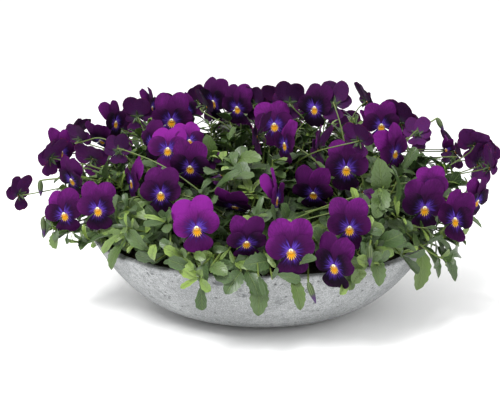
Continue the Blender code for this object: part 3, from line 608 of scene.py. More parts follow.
petal_back, shader, _ = new_material(
    "petal_back", 0.78, Specular_IOR_Level=0.08, Sheen_Weight=0.03, Sheen_Roughness=0.4,
    Sheen_Tint=(0.8, 0.6, 0.9, 1.0), Subsurface_Weight=0.08, Subsurface_Scale=0.001)
_, _, reach, heading = round_the_eye(shader)
veins = noise(fibre_place(heading, reach, 0.12), 2.6, 3.0, 0.6)
# The back's purple follows the bloom's tone, and with it the painted shade of blooms in shadow
colour = coat((0.0090, 0.0018, 0.0130), (0.105, 0.014, 0.125), tone_of(shader) * 0.7 + veins * 0.4)
colour = coat(colour, (0.045, 0.040, 0.065), reach.step(12.0, 3.0) * 0.55)
dress(shader, colour, veins, 0.0003)

beard_white, shader, place = new_material("beard_white", 0.7, Sheen_Weight=0.2)
hairs = noise(place, 1500.0, 2.0)
dress(shader, coat((0.42, 0.38, 0.28), (0.74, 0.70, 0.50), hairs), hairs, 0.0004)

stigma_gold, shader, place = new_material("stigma_gold", 0.5)
dress(shader, coat((0.42, 0.15, 0.008), (0.55, 0.30, 0.02), noise(place, 900.0, 2.0)))

bloom_finishes = [upper_face, side_face, lip_face, petal_back, beard_white, stigma_gold]
PETAL_BACK, BEARD, STIGMA = 3, 4, 5

# The two beards lean together above the eye, and the stigma fills the throat below.
# Each: its middle, half sizes, lean and finish
EYE_LUMPS = [
    ((0.0009, 0.0012, 0.0007), (0.0008, 0.0015, 0.0005), 35, BEARD),
    ((-0.0009, 0.0012, 0.0007), (0.0008, 0.0015, 0.0005), -35, BEARD),
    ((0.0, -0.0006, 0.0002), (0.0023, 0.0014, 0.0006), 0, STIGMA),
]


def eye_lumps(size, axes, eye):
    """Beards and stigma of one bloom: small rounded lumps, the beards turned to meet."""
    bundles = []
    for middle, radii, lean, finish in EYE_LUMPS:
        tilt = math.radians(lean)
        turn = np.array([[math.cos(tilt), -math.sin(tilt), 0],
                         [math.sin(tilt), math.cos(tilt), 0], [0, 0, 1]])
        lump = lump_surfaces(np.zeros((1, 3)), np.array([radii]), rows=7, columns=8) @ turn.T
        bundles.append(sheaf(turned_to((lump + middle) * size, axes, eye), finish=finish))
    return bundles


blooms = []
for number, group in enumerate(BLOOMS, 1):
    name = ("bloom_%02d" if len(group) == 1 else "blooms_%02d") % number
    bundles = []
    for *stance, size, is_open, brightness_with_shade in group:
        draws = np.random.default_rng(1000 + len(blooms))
        eye, axes = bloom_frame(*stance)
        for petal in OPEN_PETALS if is_open else FURLED_PETALS:
            shell, flat = petal_shell(petal, size, draws)
            # Each petal's tone follows its bloom's brightness, painted shade included, and varies a
            # little at random
            tone = 0.85 * brightness_with_shade - 0.10 + draws.uniform(-0.15, 0.12)
            shell = turned_to(shell, axes, eye)
            bundles.append(sheaf(shell[None], flat[None], tone, petal_finish(petal[5])))
        bundles += eye_lumps(size, axes, eye)
        blooms.append((eye, axes, size))
    petals = put_mesh(name + "_petals", bundles, bloom_finishes, PETAL_SHARP)
    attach(petals, "root")
    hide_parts(name)

bloom_eyes, bloom_axes, bloom_sizes = (np.array(values) for values in zip(*blooms))
bloom_across, bloom_up, bloom_face = np.moveaxis(bloom_axes, 2, 0)


# ------------------------------------------------------------------ stalks and crowns
# Each plant is a stout crown that stands in the soil and sends up smooth, slightly ribbed
# green stalks. A stalk rises, bends over just below its bloom and meets it from behind.

CROWNS = [(0, 6), (-17, -97), (88, -46), (70, 68), (-43, 88), (-97, -14)]   # in mm
CROWN_PROFILE = [(0, 0.0554), (0.0088, 0.0554), (0.0089, 0.066), (0.0092, 0.078),
                 (0.0118, 0.083), (0.0150, 0.089), (0.0160, 0.094), (0.0150, 0.100),
                 (0.0112, 0.1055), (0.0060, 0.1095), (0, 0.112)]
CROWN_AROUND = 40
CROWN_ROOT = 0.005
STALK_ROOTS = (0.098, 0.107)    # heights in the crown
STALK_SIDES = 7
STALK_BOW = 0.018               # as a share of its length
SEAT = 0.0012                   # where a stalk ends, behind the bloom's eye
BENDS = (0.008, 0.005, 0.012, 0.017)    # where it may bend, behind its seat
ROUTE_LIFTS = (0.018, 0.008, 0.030, 0.0, -0.010, 0.045, -0.020)
ROUTE_SWAYS = (0.0, 0.010, -0.010, 0.020, -0.020, 0.032, -0.032, 0.046, -0.046)
# How near to its skin a line stays that runs inside a stem of the frame: on a straight
# part, and over all of the bent way
ON_STEM = 0.0014
NEAR_STEM = 0.0045
UP = np.array([0.0, 0.0, 1.0])
LEVEL = np.array([1.0, 1.0, 0.0])       # times a place, its place on the ground

plant_names = ["viola_plant_%d" % number for number in range(1, len(CROWNS) + 1)]
crown_places = np.array([(x, y, 0.0) for x, y in CROWNS]) * 0.001


def draw(number, kind):
    """A fixed draw from 0 to 1 for a numbered piece: fractional parts of golden steps."""
    return (number * 0.6180340 + kind * 0.7548777 + 0.137) % 1.0


def unit(vectors):
    """Vectors scaled to a length of one."""
    return vectors / np.linalg.norm(vectors, axis=-1, keepdims=True)


def frame_tree(name):
    """A search tree over a node of the frame."""
    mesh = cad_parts[name].data
    return BVHTree.FromPolygons([corner.co for corner in mesh.vertices],
                                [face.vertices[:] for face in mesh.polygons])


def nearness(tree, points, limit):
    """Mean distance of points from a tree's skin, or None where one is beyond a limit."""
    total = 0.0
    for point in points:
        near = tree.find_nearest(Vector(point), limit)
        if near[0] is None:
            return None
        total += near[3]
    return total / len(points)


def root_point(crown, target, number, band):
    """A stem's root inside a crown, on the side that it leaves from, and that direction."""
    away = target * LEVEL - crown_places[crown]
    reach = np.linalg.norm(away)
    away = away / reach if reach > 0.001 else np.array([0.0, -1.0, 0.0])
    height = band[0] + (band[1] - band[0]) * draw(number, 3)
    return crown_places[crown] + away * CROWN_ROOT + UP * height, away


def along_line(knots, parts):
    """Points at even parts of each span of a bent line."""
    knots = np.array(knots)
    share = np.array(parts)[:, None, None]
    return (knots[:-1] + (knots[1:] - knots[:-1]) * share).reshape(-1, 3)


def find_stem(number, target, ends):
    """The bent way from a crown that the frame's own stem takes, found by nearness."""
    best = None
    for crown, tree in enumerate(plant_trees):
        root, away = root_point(crown, target, number, STALK_ROOTS)
        across = np.array([-away[1], away[0], 0.0])
        for end, lift, sway in itertools.product(ends, ROUTE_LIFTS, ROUTE_SWAYS):
            middle = (root + end[0]) / 2 + UP * lift + across * sway
            if nearness(tree, along_line([middle, end[0]], (0.1, 0.5, 0.9)), ON_STEM) is None:
                continue
            knots = np.array([root, middle, *end])
            near = nearness(tree, along_line(knots, (0.3, 0.7, 1.0)), NEAR_STEM)
            if near is not None and (best is None or near < best[0]):
                best = (near, crown, knots)
    return best[1:]


def soften(knots, times=3):
    """Cuts the corners of bent lines (count, knots, 3) a few times over."""
    for _ in range(times):
        first = 0.75 * knots[:, :-1] + 0.25 * knots[:, 1:]
        second = 0.25 * knots[:, :-1] + 0.75 * knots[:, 1:]
        cut = np.stack([first, second], axis=2).reshape(len(knots), -1, 3)
        knots = np.concatenate([knots[:, :1], cut, knots[:, -1:]], axis=1)
    return knots


def bowed(lines, amount, draws):
    """Lines that bow and sway a little between their ends, in proportion to their length."""
    span = np.linalg.norm(lines[:, -1] - lines[:, 0], axis=-1)[:, None, None]
    share = np.linspace(0, 1, lines.shape[1])[None, :, None]
    bow = np.sin(np.pi * share) * draws.uniform(-1, 1, (len(lines), 1, 3))
    sway = np.sin(2 * np.pi * share) * draws.uniform(-0.6, 0.6, (len(lines), 1, 3))
    return lines + span * amount * (bow + sway) * np.sin(np.pi * share) ** 0.5


def tubes(lines, radii, sides):
    """Round tubes along lines (count, rows, 3), closed at both ends. A side vector is
    carried along each line; ring points lie at r (cos a side + sin a binormal)."""
    radii = np.broadcast_to(radii, lines.shape[:2])
    tangents = unit(np.gradient(lines, axis=1))
    side = np.cross(tangents[:, 0], np.array([0.31, 0.87, 0.38]))
    sides_along = []
    for row in range(lines.shape[1]):
        tangent = tangents[:, row]
        side = unit(side - tangent * np.sum(side * tangent, axis=-1, keepdims=True))
        sides_along.append(side)
    side = np.stack(sides_along, axis=1)
    binormal = np.cross(tangents, side)
    angle = np.linspace(0, 2 * np.pi, sides, endpoint=False)[:, None]
    ring = side[:, :, None] * np.cos(angle) + binormal[:, :, None] * np.sin(angle)
    points = lines[:, :, None] + ring * radii[:, :, None, None]
    caps = [np.broadcast_to(lines[:, end, None, None], points[:, :1].shape) for end in (0, -1)]
    return np.concatenate([caps[0], points, caps[1]], axis=1)


def stem_sheaf(lines, radii, sides, tones, finish=1):
    """A bundle of round stems, whose tone runs from one at the root to another at the end."""
    shade = np.linspace(*tones, lines.shape[1] + 2)[:, None]
    return sheaf(tubes(lines, radii, sides), tone=shade, finish=finish)


def crown_surface(place, draws):
    """A crown: a neck in the soil below a tuft with lobes, whose radius waves round it."""
    points = turned_surface(CROWN_PROFILE, CROWN_AROUND)
    angle = np.linspace(0, 2 * np.pi, CROWN_AROUND, endpoint=False)
    lobes = 0.10 * np.sin(6 * angle + draws.uniform(0, 6.3))
    lobes = lobes + 0.05 * np.sin(11 * angle + draws.uniform(0, 6.3))
    grown = np.clip((points[..., 2] - 0.078) / 0.012, 0, 1)
    points[..., :2] *= (1 + grown * lobes)[..., None]
    return points + place


stem_green, shader, place = new_material(
    "stem_green", 0.42, Specular_IOR_Level=0.4, Subsurface_Weight=0.1, Subsurface_Scale=0.001)
share = tone_of(shader) * 0.75 + noise(place, 120.0, 2.0) * 0.35
colour = coat((0.026, 0.046, 0.010), (0.130, 0.180, 0.036), share)
dress(shader, colour, noise(place, 1200.0, 2.0), 0.0001)

plant_trees = [frame_tree(name) for name in plant_names]
bloom_seats = bloom_eyes - bloom_face * SEAT
plant_stalks = [[] for _ in CROWNS]
for number, (eye, seat, face) in enumerate(zip(bloom_eyes, bloom_seats, bloom_face)):
    crown, route = find_stem(number, eye, [[seat - face * back, seat] for back in BENDS])
    plant_stalks[crown].append((route, bloom_sizes[number]))

for number, name in enumerate(plant_names):
    draws = np.random.default_rng(60 + number)
    routes, sizes = (np.array(values) for values in zip(*plant_stalks[number]))
    lines = bowed(soften(routes), STALK_BOW, draws)
    # A stalk thins up to its middle, and swells just under its bloom
    share = np.linspace(0, 1, lines.shape[1])
    radii = 0.0012 - 0.0004 * np.clip(share / 0.5, 0, 1)
    radii = radii + 0.0008 * np.clip((share - 0.93) / 0.07, 0, 1) ** 2
    radii = radii * (0.68 + 0.15 * sizes[:, None])
    bundles = [sheaf(crown_surface(crown_places[number], draws), tone=0.35),
               stem_sheaf(lines, radii, STALK_SIDES, (0.15, 0.65), finish=0)]
    stalks = put_mesh(name + "_stalks", bundles, [stem_green])
    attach(stalks, "root")
    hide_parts(name)


# --------------------------------------------------------------------------- calyxes
# Behind the petals of each bloom sit five narrow pointed sepals, grey-green with pale
# edges, that spread backward from the end of the stalk like a small star, and a short
# spur that runs back and down.

SEPALS = 5
SEPAL_LENGTH = 0.0098
SEPAL_HALF = 0.0017
SPUR = ((0.0, 0.0), (0.003, 0.0012), (0.0048, 0.0034))      # back from the seat, and down


def blades(foot, along, out, length, half, rows, columns, outline, arch, fold, droop, thick,
           tip_share=1.0):
    """Thin closed blades. A point at s along and t across is foot + L s along
    + h w(s) t across + (L (arch sin pi s - droop s s) + h w(s) fold t t) out."""
    along = unit(along)
    out = unit(out - along * np.sum(out * along, axis=-1, keepdims=True))
    across = np.cross(along, out)
    foot, along, out, across = (value[:, None, None] for value in (foot, along, out, across))
    length, half, arch, fold, droop = (np.broadcast_to(value, foot.shape[:1])[:, None, None]
                                       for value in (length, half, arch, fold, droop))
    s = 1 - (1 - np.linspace(0, 1, rows)[None, :, None]) ** tip_share
    t = np.linspace(-1, 1, columns)[None, None, :]
    width = half * outline(s)
    rise = length * (arch * np.sin(np.pi * s) - droop * s * s) + width * fold * t * t
    middle = foot + along * (length * s)[..., None] + across * (width * t)[..., None]
    middle = middle + out * rise[..., None]
    body = thick * (1 - t ** 8) * np.minimum(1, 8 * s) * np.minimum(1, 8 * (1 - s)) / 2
    uv = np.stack(np.broadcast_arrays((t + 1) / 2, s), axis=-1)
    uv = np.broadcast_to(uv, middle.shape[:3] + (2,))
    return two_skins(middle, out * body[..., None], uv)


def sepal_outline(s):
    """Widest near the foot and drawn out to a point."""
    return np.clip(1 - s, 0, 1) ** 0.7 * np.clip(s / 0.2, 0, 1) ** 0.6


sepal_green, shader, place = new_material(
    "sepal_green", 0.5, Specular_IOR_Level=0.3, Subsurface_Weight=0.1, Subsurface_Scale=0.001)
across, _ = flat_parts(shader)
edge = (across - 0.5).calc("ABSOLUTE").step(0.25, 0.5)
colour = coat((0.028, 0.048, 0.013), (0.085, 0.115, 0.040), edge)
dress(shader, coat(colour, (0.032, 0.050, 0.026), noise(place, 300.0, 2.0)))

turn = np.radians(90 + 360 / SEPALS * np.arange(SEPALS))[:, None, None]
around = bloom_across * np.cos(turn) + bloom_up * np.sin(turn)
sepals, flat = blades(
    (bloom_seats + around * 0.0006 - bloom_face * 0.0002).reshape(-1, 3),
    (around - bloom_face * 0.42).reshape(-1, 3), np.tile(-bloom_face, (SEPALS, 1)),
    np.tile(bloom_sizes * SEPAL_LENGTH, SEPALS), SEPAL_HALF, rows=7, columns=3,
    outline=sepal_outline, arch=-0.06, fold=-0.3, droop=-0.10, thick=0.0005)
spurs = [bloom_seats - bloom_face * back - bloom_up * down for back, down in SPUR]
spurs = soften(np.stack(spurs, axis=1), 2)
spurs = tubes(spurs, np.linspace(0.0016, 0.0010, spurs.shape[1]), 6)
calyxes = put_mesh("bloom_calyxes", [sheaf(sepals, flat), sheaf(spurs, (0.2, 0.5))],
                   [sepal_green], sharp=60.0)
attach(calyxes, "root")


# ------------------------------------------------------------------------------ buds
# Unopened buds hang from hooked stalks: a spindle wrapped in striped green sepals, with
# the rolled dark petals showing at its tip.

# Each: where the hook ends and where the bud's tip hangs, in mm
BUDS = [
    ((-216, -20, 128), (-216, -20, 111)),
    ((-208, -58, 101), (-207, -60, 81)),
    ((-80, -166, 108), (-79, -167, 95)),
    ((90, -170, 106), (90, -172, 87)),
    ((37, -182, 77), (44, -184, 58)),
    ((177, 40, 179), (185, 40, 164)),
]
BUD_RADIUS = 0.0028
BUD_ROWS = 15
BUD_SIDES = 20
BUD_STRIPES = 62.83             # ten waves of colour round a bud

bud_skin, shader, _ = new_material("bud_skin", 0.5, Specular_IOR_Level=0.3)
around, down = flat_parts(shader)
stripe = (around * BUD_STRIPES).calc("SINE")
colour = coat((0.030, 0.048, 0.017), (0.085, 0.118, 0.042), stripe.step(-0.4, 0.8))
dress(shader, coat(colour, (0.040, 0.012, 0.070), (down + stripe * 0.07).step(0.56, 0.66)))

share = np.linspace(0.0, 1.0, BUD_ROWS)
hooks, spindles = [], []
for number, (top, tip) in enumerate(np.array(BUDS) * 0.001):
    _, route = find_stem(number + 11, top, [[top, (top + tip) / 2]])
    hooks.append([*route[:-1], top + (tip - top) * 0.12])
    spindles.append(top + (tip - top) * share[:, None])
hooks = soften(np.array(hooks))
radii = BUD_RADIUS * np.sin(np.pi * share ** 0.72) ** 0.8 * (1 - 0.15 * share) + 0.0001
around, down = np.meshgrid(np.arange(BUD_SIDES) / BUD_SIDES, [0, *share, 1])
bundles = [sheaf(tubes(np.array(spindles), radii, BUD_SIDES), np.stack([around, down], axis=-1)),
           stem_sheaf(hooks, np.linspace(0.0011, 0.0007, hooks.shape[1]), STALK_SIDES, (0.3, 0.9))]
buds = put_mesh("hanging_buds", bundles, [bud_skin, stem_green])
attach(buds, "root")


# ------------------------------------------------------------------- leaves on stems
# The large leaves that hang over the rim and stand between the blooms are oval blades
# with scalloped edges, a sunken midrib and pale veins, each on its own slender stem.

# Each: foot, tip and width, in mm
LEAVES = [
    ((-52, -168, 88), (-50, -178, 73), 13),
    ((-45, -170, 87), (-31, -182, 83), 13),
    ((-20, -170, 82), (-33, -183, 66), 15),
    ((-15, -170, 84), (-5, -183, 66), 14),
    ((-4, -174, 78), (-5, -182, 46), 16),
    ((4, -160, 88), (-18, -176, 89), 16),
    ((28, -174, 78), (34, -181, 52), 12),
    ((38, -165, 86), (51, -178, 93), 11),
    ((66, -160, 88), (75, -176, 80), 13),
    ((94, -150, 90), (99, -168, 68), 15),
    ((106, -125, 92), (134, -140, 91), 18),
    ((146, -96, 79), (140, -110, 45), 17),
    ((149, -84, 80), (162, -96, 52), 18),
    ((164, -72, 76), (180, -84, 45), 14),
    ((165, -60, 80), (185, -70, 75), 15),
    ((108, -100, 133), (102, -112, 169), 18),
    ((109, -110, 141), (99, -128, 120), 16),
    ((185, -56, 102), (206, -66, 92), 16),
    ((-195, -50, 94), (-214, -62, 75), 19),
    ((-191, -66, 92), (-191, -88, 78), 16),
    ((-153, -84, 93), (-168, -96, 79), 15),
    ((-130, -100, 94), (-158, -112, 90), 15),
    ((-128, -106, 88), (-137, -118, 67), 14),
    ((-92, -124, 101), (-119, -140, 100), 19),
    ((-84, -140, 99), (-100, -154, 90), 14),
    ((-119, -100, 105), (-120, -116, 133), 19),
    ((-49, -10, 144), (-52, -26, 173), 17),
    ((-23, -50, 154), (-1, -66, 158), 15),
    ((-138, -40, 131), (-133, -56, 155), 15),
    ((178, -6, 133), (155, -14, 150), 14),
    ((-60, -150, 90), (-78, -168, 94), 14),
]
# Leaves of the rest of the mound lie on a dome: its radii, height and foot, and a leaf's
# length and half width
DOME_LEAVES = 25
DOME = (0.205, 0.178, 0.080)
DOME_FOOT = 0.078
DOME_LEAF = (0.034, 0.0100)
LEAF_ROOTS = (0.084, 0.096)
LEAF_ROLL = math.radians(24)
LEAF_ARCH = 0.10
LEAF_SHAPE = {"rows": 27, "columns": 7, "arch": LEAF_ARCH, "droop": 0.0, "thick": 0.0006}
STEM_RISE = 0.006
STEM_SIDES = 6
STEM_RADIUS = 0.0009
GOLDEN_ANGLE = math.radians(137.508)
LEAF_TRIES = 14
LEAF_PROBES = np.array([0.20, 0.33, 0.52, 0.68, 0.85])      # shares of a leaf's length
IN_LEAF = 0.0006                # how near to its skin a leaf's midrib runs


def leaf_axes(foot, tip, roll):
    """Along a blade, and out of its face, which looks up and outward."""
    along = unit(tip - foot)
    outward = unit((foot + tip) / 2 * LEVEL)
    across = unit(np.cross(along, UP + 0.9 * outward))
    out = np.cross(across, along)
    return along, out * math.cos(roll) + np.cross(along, out) * math.sin(roll)


def find_leaf(foot, tip, number):
    """The place of a numbered leaf in the frame, and its plant, found by nearness: tries
    at wider and wider steps round its wished place."""
    length = np.linalg.norm(tip - foot)
    for attempt in range(LEAF_TRIES):
        swing = attempt * GOLDEN_ANGLE
        shift = np.array([math.cos(swing), math.sin(swing), 0.5 * math.sin(2 * swing)])
        shift = shift * (0.004 * math.ceil(attempt / 2))
        roll = LEAF_ROLL * (draw(number, 5 + attempt) - 0.5) * 2
        along, out = leaf_axes(foot + shift, tip + shift, roll)
        rise = LEAF_ARCH * length * np.sin(np.pi * LEAF_PROBES)
        line = foot + shift + along * (length * LEAF_PROBES)[:, None] + out * rise[:, None]
        for crown, tree in enumerate(plant_trees):
            if nearness(tree, line, IN_LEAF) is not None:
                root, _ = root_point(crown, foot, number + 29, LEAF_ROOTS)
                middle = (root + foot + shift) / 2 + UP * STEM_RISE
                return crown, np.array([root, middle, foot + shift]), along, out, length
    return None


def leaf_outline(s):
    """An oval, widest below its middle, with rounded teeth along the edge."""
    oval = np.clip(1 - np.abs(2 * s ** 0.88 - 1) ** 2.3, 0, 1) ** 0.7
    return oval * (1 + 0.075 * np.cos(2 * np.pi * 5.5 * s + 0.5) * np.clip(6 * s, 0, 1))


leaf_skin, shader, place = new_material(
    "leaf_skin", 0.42, Specular_IOR_Level=0.42, Subsurface_Weight=0.06, Subsurface_Scale=0.0012,
    Subsurface_Radius=(0.5, 1.0, 0.2))
tone = tone_of(shader)
across, down = flat_parts(shader)
side = (across - 0.5).calc("ABSOLUTE")
branches = (down * 38.0 - side * 30.0).calc("SINE").step(0.80, 0.98) * side.step(0.48, 0.2)
veins = side.step(0.045, 0.012).calc("MAXIMUM", branches * 0.65)
cloud = noise(place, 160.0)
# Old, grown and young leaves, a paler bloom in patches, and the pale veins
colour = coat((0.006, 0.013, 0.004), (0.039, 0.071, 0.022), tone.step(0.0, 0.5))
colour = coat(colour, (0.165, 0.248, 0.042), tone.step(0.5, 1.0))
colour = coat(colour, (0.066, 0.108, 0.044), cloud.step(0.45, 0.8) * 0.45)
colour = coat(colour, (0.120, 0.175, 0.055), veins * 0.55)
dress(shader, colour, cloud * 0.6 - veins, 0.0006)

# Each leaf to find: its number in the search, foot, tip, number of its age, half width
wished = []
for number, (foot, tip, width) in enumerate(LEAVES):
    foot, tip = np.array([foot, tip]) * 0.001
    wished.append((number, foot, tip, number, width * 0.0005))
for number in range(DOME_LEAVES):
    share = (number + 0.5) / DOME_LEAVES
    swing = number * GOLDEN_ANGLE + 0.4 * draw(number, 1)
    outward = np.array([math.cos(swing), math.sin(swing)])
    rise = DOME[2] * math.sqrt(1.0 - share * 0.96)
    tip = np.array([*(outward * DOME[:2] * math.sqrt(share)), DOME_FOOT + rise])
    size = 0.85 + 0.3 * draw(number, 2)
    heading = swing + 1.2 * (draw(number, 4) - 0.5)
    slope = unit(np.array([math.cos(heading), math.sin(heading), 0.55 - share]))
    foot = tip - slope * DOME_LEAF[0] * size
    wished.append((number + 50, foot, tip, number, DOME_LEAF[1] * size))

plant_leaves = [[] for _ in CROWNS]
for seed, foot, tip, number, half in wished:
    found = find_leaf(foot, tip, seed)
    if found:
        plant_leaves[found[0]].append((*found[1:], half, draw(number, 8)))

for name, leaves in zip(plant_names, plant_leaves):
    if not leaves:
        continue
    stems, along, out, length, half, age = (np.array(values) for values in zip(*leaves))
    shells, flat = blades(stems[:, -1], along, out, length, half, outline=leaf_outline, fold=0.28,
                          **LEAF_SHAPE)
    bundles = [sheaf(shells, flat, (0.35 + 0.35 * age)[:, None, None]),
               stem_sheaf(soften(stems, 2), STEM_RADIUS, STEM_SIDES, (0.2, 0.7))]
    made = put_mesh(name + "_leaves", bundles, [leaf_skin, stem_green], sharp=60.0)
    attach(made, "root")
    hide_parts(name)


# ----------------------------------------------------------------------- leafy stems
# Between the flowers the plants are a dense mound of leafy stems. Leaves sit round each
# stem, larger and darker below, and end in a bright rosette of young leaves. Lower stems
# lie on the soil and lean out over the rim.

# For each family: stems, reach to the sides and to the front, height at the rim, further
# height in the middle, and the shares of the reach that it fills
FAMILIES = {
    "mound": (190, 0.198, 0.184, 0.086, 0.080, 0.00, 1.00),
    "skirt": (120, 0.178, 0.180, 0.083, 0.012, 0.22, 1.00),
}
# Rosettes that lean out over the rim or stand among the front blooms, in mm
ROSETTES = [
    (-55, -176, 78), (-19, -180, 71), (27, -178, 64), (-123, -112, 97), (122, -110, 116),
    (-182, -80, 92), (-92, -130, 104), (81, -110, 126), (-35, -80, 141), (-12, -95, 134),
    (36, -140, 108), (88, -160, 88), (149, -100, 102), (183, -70, 84), (54, -176, 84),
    (6, -178, 78), (-112, -132, 96), (192, 8, 126), (206, -14, 118), (178, -6, 132),
    (200, 24, 112), (-192, -20, 118), (-176, 10, 124), (-40, -187, 69), (-2, -187, 72),
    (16, -185, 66), (42, -183, 70), (70, -174, 78), (100, -158, 84), (124, -140, 88),
    (165, 10, 138), (180, 30, 141), (150, 0, 146), (196, 42, 132), (210, 20, 122),
    (172, -30, 128), (-165, -10, 135), (-150, 10, 140), (-175, -40, 124), (-160, 30, 138),
    (-140, -30, 140), (-150, -40, 132), (-135, -50, 128), (-160, -45, 124),
    (-145, -60, 124), (-165, -25, 130), (-120, -30, 138), (-130, -10, 142),
    (-110, -45, 140), (-186, -66, 86), (-172, -86, 84), (-196, -60, 92), (-160, -96, 86),
    (-100, -116, 87), (-120, -98, 87), (-80, -134, 86), (-60, -144, 85), (-140, -68, 89),
    (-45, -150, 84),
]
# Large leaves that stand between the front blooms: foot, tip and width, in mm
STANDING = [
    ((105, -104, 136), (102, -112, 169), 19),
    ((107, -110, 141), (99, -125, 117), 17),
    ((-117, -102, 104), (-118, -114, 132), 20),
    ((-50, -18, 146), (-54, -26, 174), 15),
]
SCATTER = np.array([0.010, 0.010, 0.008])   # of a stem's end round its own place
MOUND_SINK = 0.035                          # how deep stems of the mound may end in it
FOLIAGE_ROOTS = (0.086, 0.104)
FOLIAGE_ROWS = 14
# Leaves on a stem: how many, the part of the stem that they sit on, length, spread from it
LOWER_LEAVES = (8, 0.30, 0.95, 0.026, 1.1)
ROSETTE = (6, 0.95, 0.995, 0.021, 0.85)
SMALL_ROWS = 8
SMALL_COLUMNS = 5
TIP_SHARE = 1.6                             # how much closer a small leaf's rows are at its tip
LOOKED_AT = np.array([0.0, -0.97, 0.24])    # the side that the planter shows
# The free view before a bloom, from its eye: how long and how wide, for stems and leaves
STEM_VIEW = (0.045, 0.015)
LEAF_VIEW = (0.060, 0.022)
# Where leaves may be: above the soil within a reach, off the rim by a height and to each
# side, below the rim only at the front, and within the planter's spread
SOIL_ROOM = (0.0715, 0.178)
RIM_ROOM = (0.004, 0.148, 0.177)
FRONT_ROOM = (0.083, 0.168, 0.13, -0.164)
SPREAD = (0.214, -0.192)


def bezier(first, second, third, fourth):
    """Points at even steps along cubic curves."""
    u = np.linspace(0, 1, FOLIAGE_ROWS)[None, :, None]
    first, second, third, fourth = (value[:, None] for value in (first, second, third, fourth))
    return (first * (1 - u) ** 3 + 3 * second * u * (1 - u) ** 2 + 3 * third * u * u * (1 - u)
            + fourth * u ** 3)


def small_outline(s):
    """A spoon shape, narrow at its foot and round at its tip, with every second point of
    its edge a little in."""
    spoon = (0.10 + 1.25 * s ** 0.85) * np.sqrt(np.clip(1 - s ** 4, 0, 1)) * (1 - 0.12 * s)
    row = (SMALL_ROWS - 1) * (1 - (1 - s) ** (1 / TIP_SHARE))
    return spoon * (1 - 0.08 * np.cos(np.pi * row))


def stem_leaves(lines, count, low, high, size, spread):
    """Leaves round stems: their feet at even parts of a stem, each a golden angle on from
    the last, heading out at an angle of spread from the stem."""
    rows = lines.shape[1]
    where = np.linspace(low, high, count) + draws.uniform(-0.03, 0.03, (len(lines), count))
    place = np.clip(where * (rows - 1), 0, rows - 1.001)
    before = place.astype(int)
    part = (place - before)[..., None]
    owner = np.arange(len(lines))[:, None]
    start, end = lines[owner, before], lines[owner, before + 1]
    foot = start * (1 - part) + end * part
    stem = unit(end - start)
    side = unit(np.cross(stem, np.array([0.2, 0.3, 0.93])))
    other = np.cross(stem, side)
    turn = np.arange(count) * GOLDEN_ANGLE + draws.uniform(0, 6.3, (len(lines), 1))
    around = side * np.cos(turn)[..., None] + other * np.sin(turn)[..., None]
    lean = spread + draws.uniform(-0.3, 0.3, turn.shape)
    along = around * np.sin(lean)[..., None] + stem * np.cos(lean)[..., None]
    out = stem * np.sin(lean)[..., None] - around * np.cos(lean)[..., None]
    length = size * (1.2 - 0.4 * where) * draws.uniform(0.65, 1.25, where.shape)
    owner = np.broadcast_to(owner, where.shape)
    return [value.reshape(len(lines) * count, *value.shape[2:])
            for value in (foot, along, out, length, where, owner)]


def before_a_bloom(points, reach, radius):
    """True for the points that stand in the free view before the face of a bloom."""
    middles = bloom_eyes + bloom_up * 0.006 * bloom_sizes[:, None]
    to_front = (bloom_face @ LOOKED_AT > 0.3)[:, None]
    views = np.where(to_front, unit(bloom_face + LOOKED_AT), bloom_face)
    apart = points[..., None, :] - middles
    ahead = np.sum(apart * views, axis=-1)
    beside = np.linalg.norm(apart - ahead[..., None] * views, axis=-1)
    near = (ahead > -0.004) & (ahead < reach) & (beside < radius * bloom_sizes)
    return (near | (np.linalg.norm(apart, axis=-1) < 0.016 * bloom_sizes)).any(axis=-1)


def nearest_crown(points):
    """The number of the plant whose crown is the nearest to each point on the ground."""
    return np.argmin(np.linalg.norm((points[:, None] - crown_places) * LEVEL, axis=-1), axis=1)


# Where the stems end: over the mound, round its skirt and at the rosettes' own places
draws = np.random.default_rng(5)
tops = []
for count, side_reach, front_reach, rim_height, rise, low, high in FAMILIES.values():
    share = (low + (high - low) * (np.arange(count) + 0.5) / count) ** (2 if low else 1)
    swing = np.arange(count) * GOLDEN_ANGLE
    reach = np.sqrt(share)
    tops.append(np.stack([np.cos(swing) * side_reach * reach, np.sin(swing) * front_reach * reach,
                          rim_height + rise * np.sqrt(1 - 0.95 * share)], axis=-1))
tops.append(np.array(ROSETTES) * 0.001)
top = np.concatenate(tops)
order = np.arange(len(top))
placed = order >= len(top) - len(ROSETTES)
loose = np.where(placed, 0.1, 1.0)[:, None]
top = top + loose * draws.uniform(-1, 1, top.shape) * SCATTER
# The back of the mound is a little higher, and some of its stems end deep inside it
behind, above = np.clip(top[:, 1] / 0.08, 0, 1), np.clip((top[:, 2] - 0.1) / 0.03, 0, 1)
top[:, 2] *= 1 + 0.12 * behind * above
sink = np.where(order < FAMILIES["mound"][0], MOUND_SINK, 0)
top[:, 2] -= sink * draws.uniform(0, 1, len(top)) ** 1.5

# Each stem rises from the nearest crown and bends over, the lower the flatter
nearest = nearest_crown(top)
away = (top - crown_places[nearest]) * LEVEL
away = away / np.maximum(np.linalg.norm(away, axis=-1, keepdims=True), 0.002)
root = crown_places[nearest] + away * 0.008 + UP * draws.uniform(*FOLIAGE_ROOTS, (len(top), 1))
span = np.linalg.norm(top - root, axis=-1, keepdims=True)
rising = np.clip((top[:, 2:] - 0.088) / 0.05, 0, 1)
outward = unit(top * LEVEL + 1e-5)
heading = unit(outward * (1.0 - 0.75 * rising) + UP * (0.9 * rising - 0.15 * (1 - rising)))
lines = bezier(root, root + UP * 0.24 * span + away * 0.25 * span, top - heading * 0.36 * span, top)
hides = before_a_bloom(lines[:, 4:], *STEM_VIEW).any(axis=1) & ~placed
in_wall = (lines[..., 2] < BOWL_HEIGHT + 0.002) & (np.linalg.norm(lines[..., :2], axis=-1) < 0.176)
free = ~(hides | in_wall.any(axis=1))
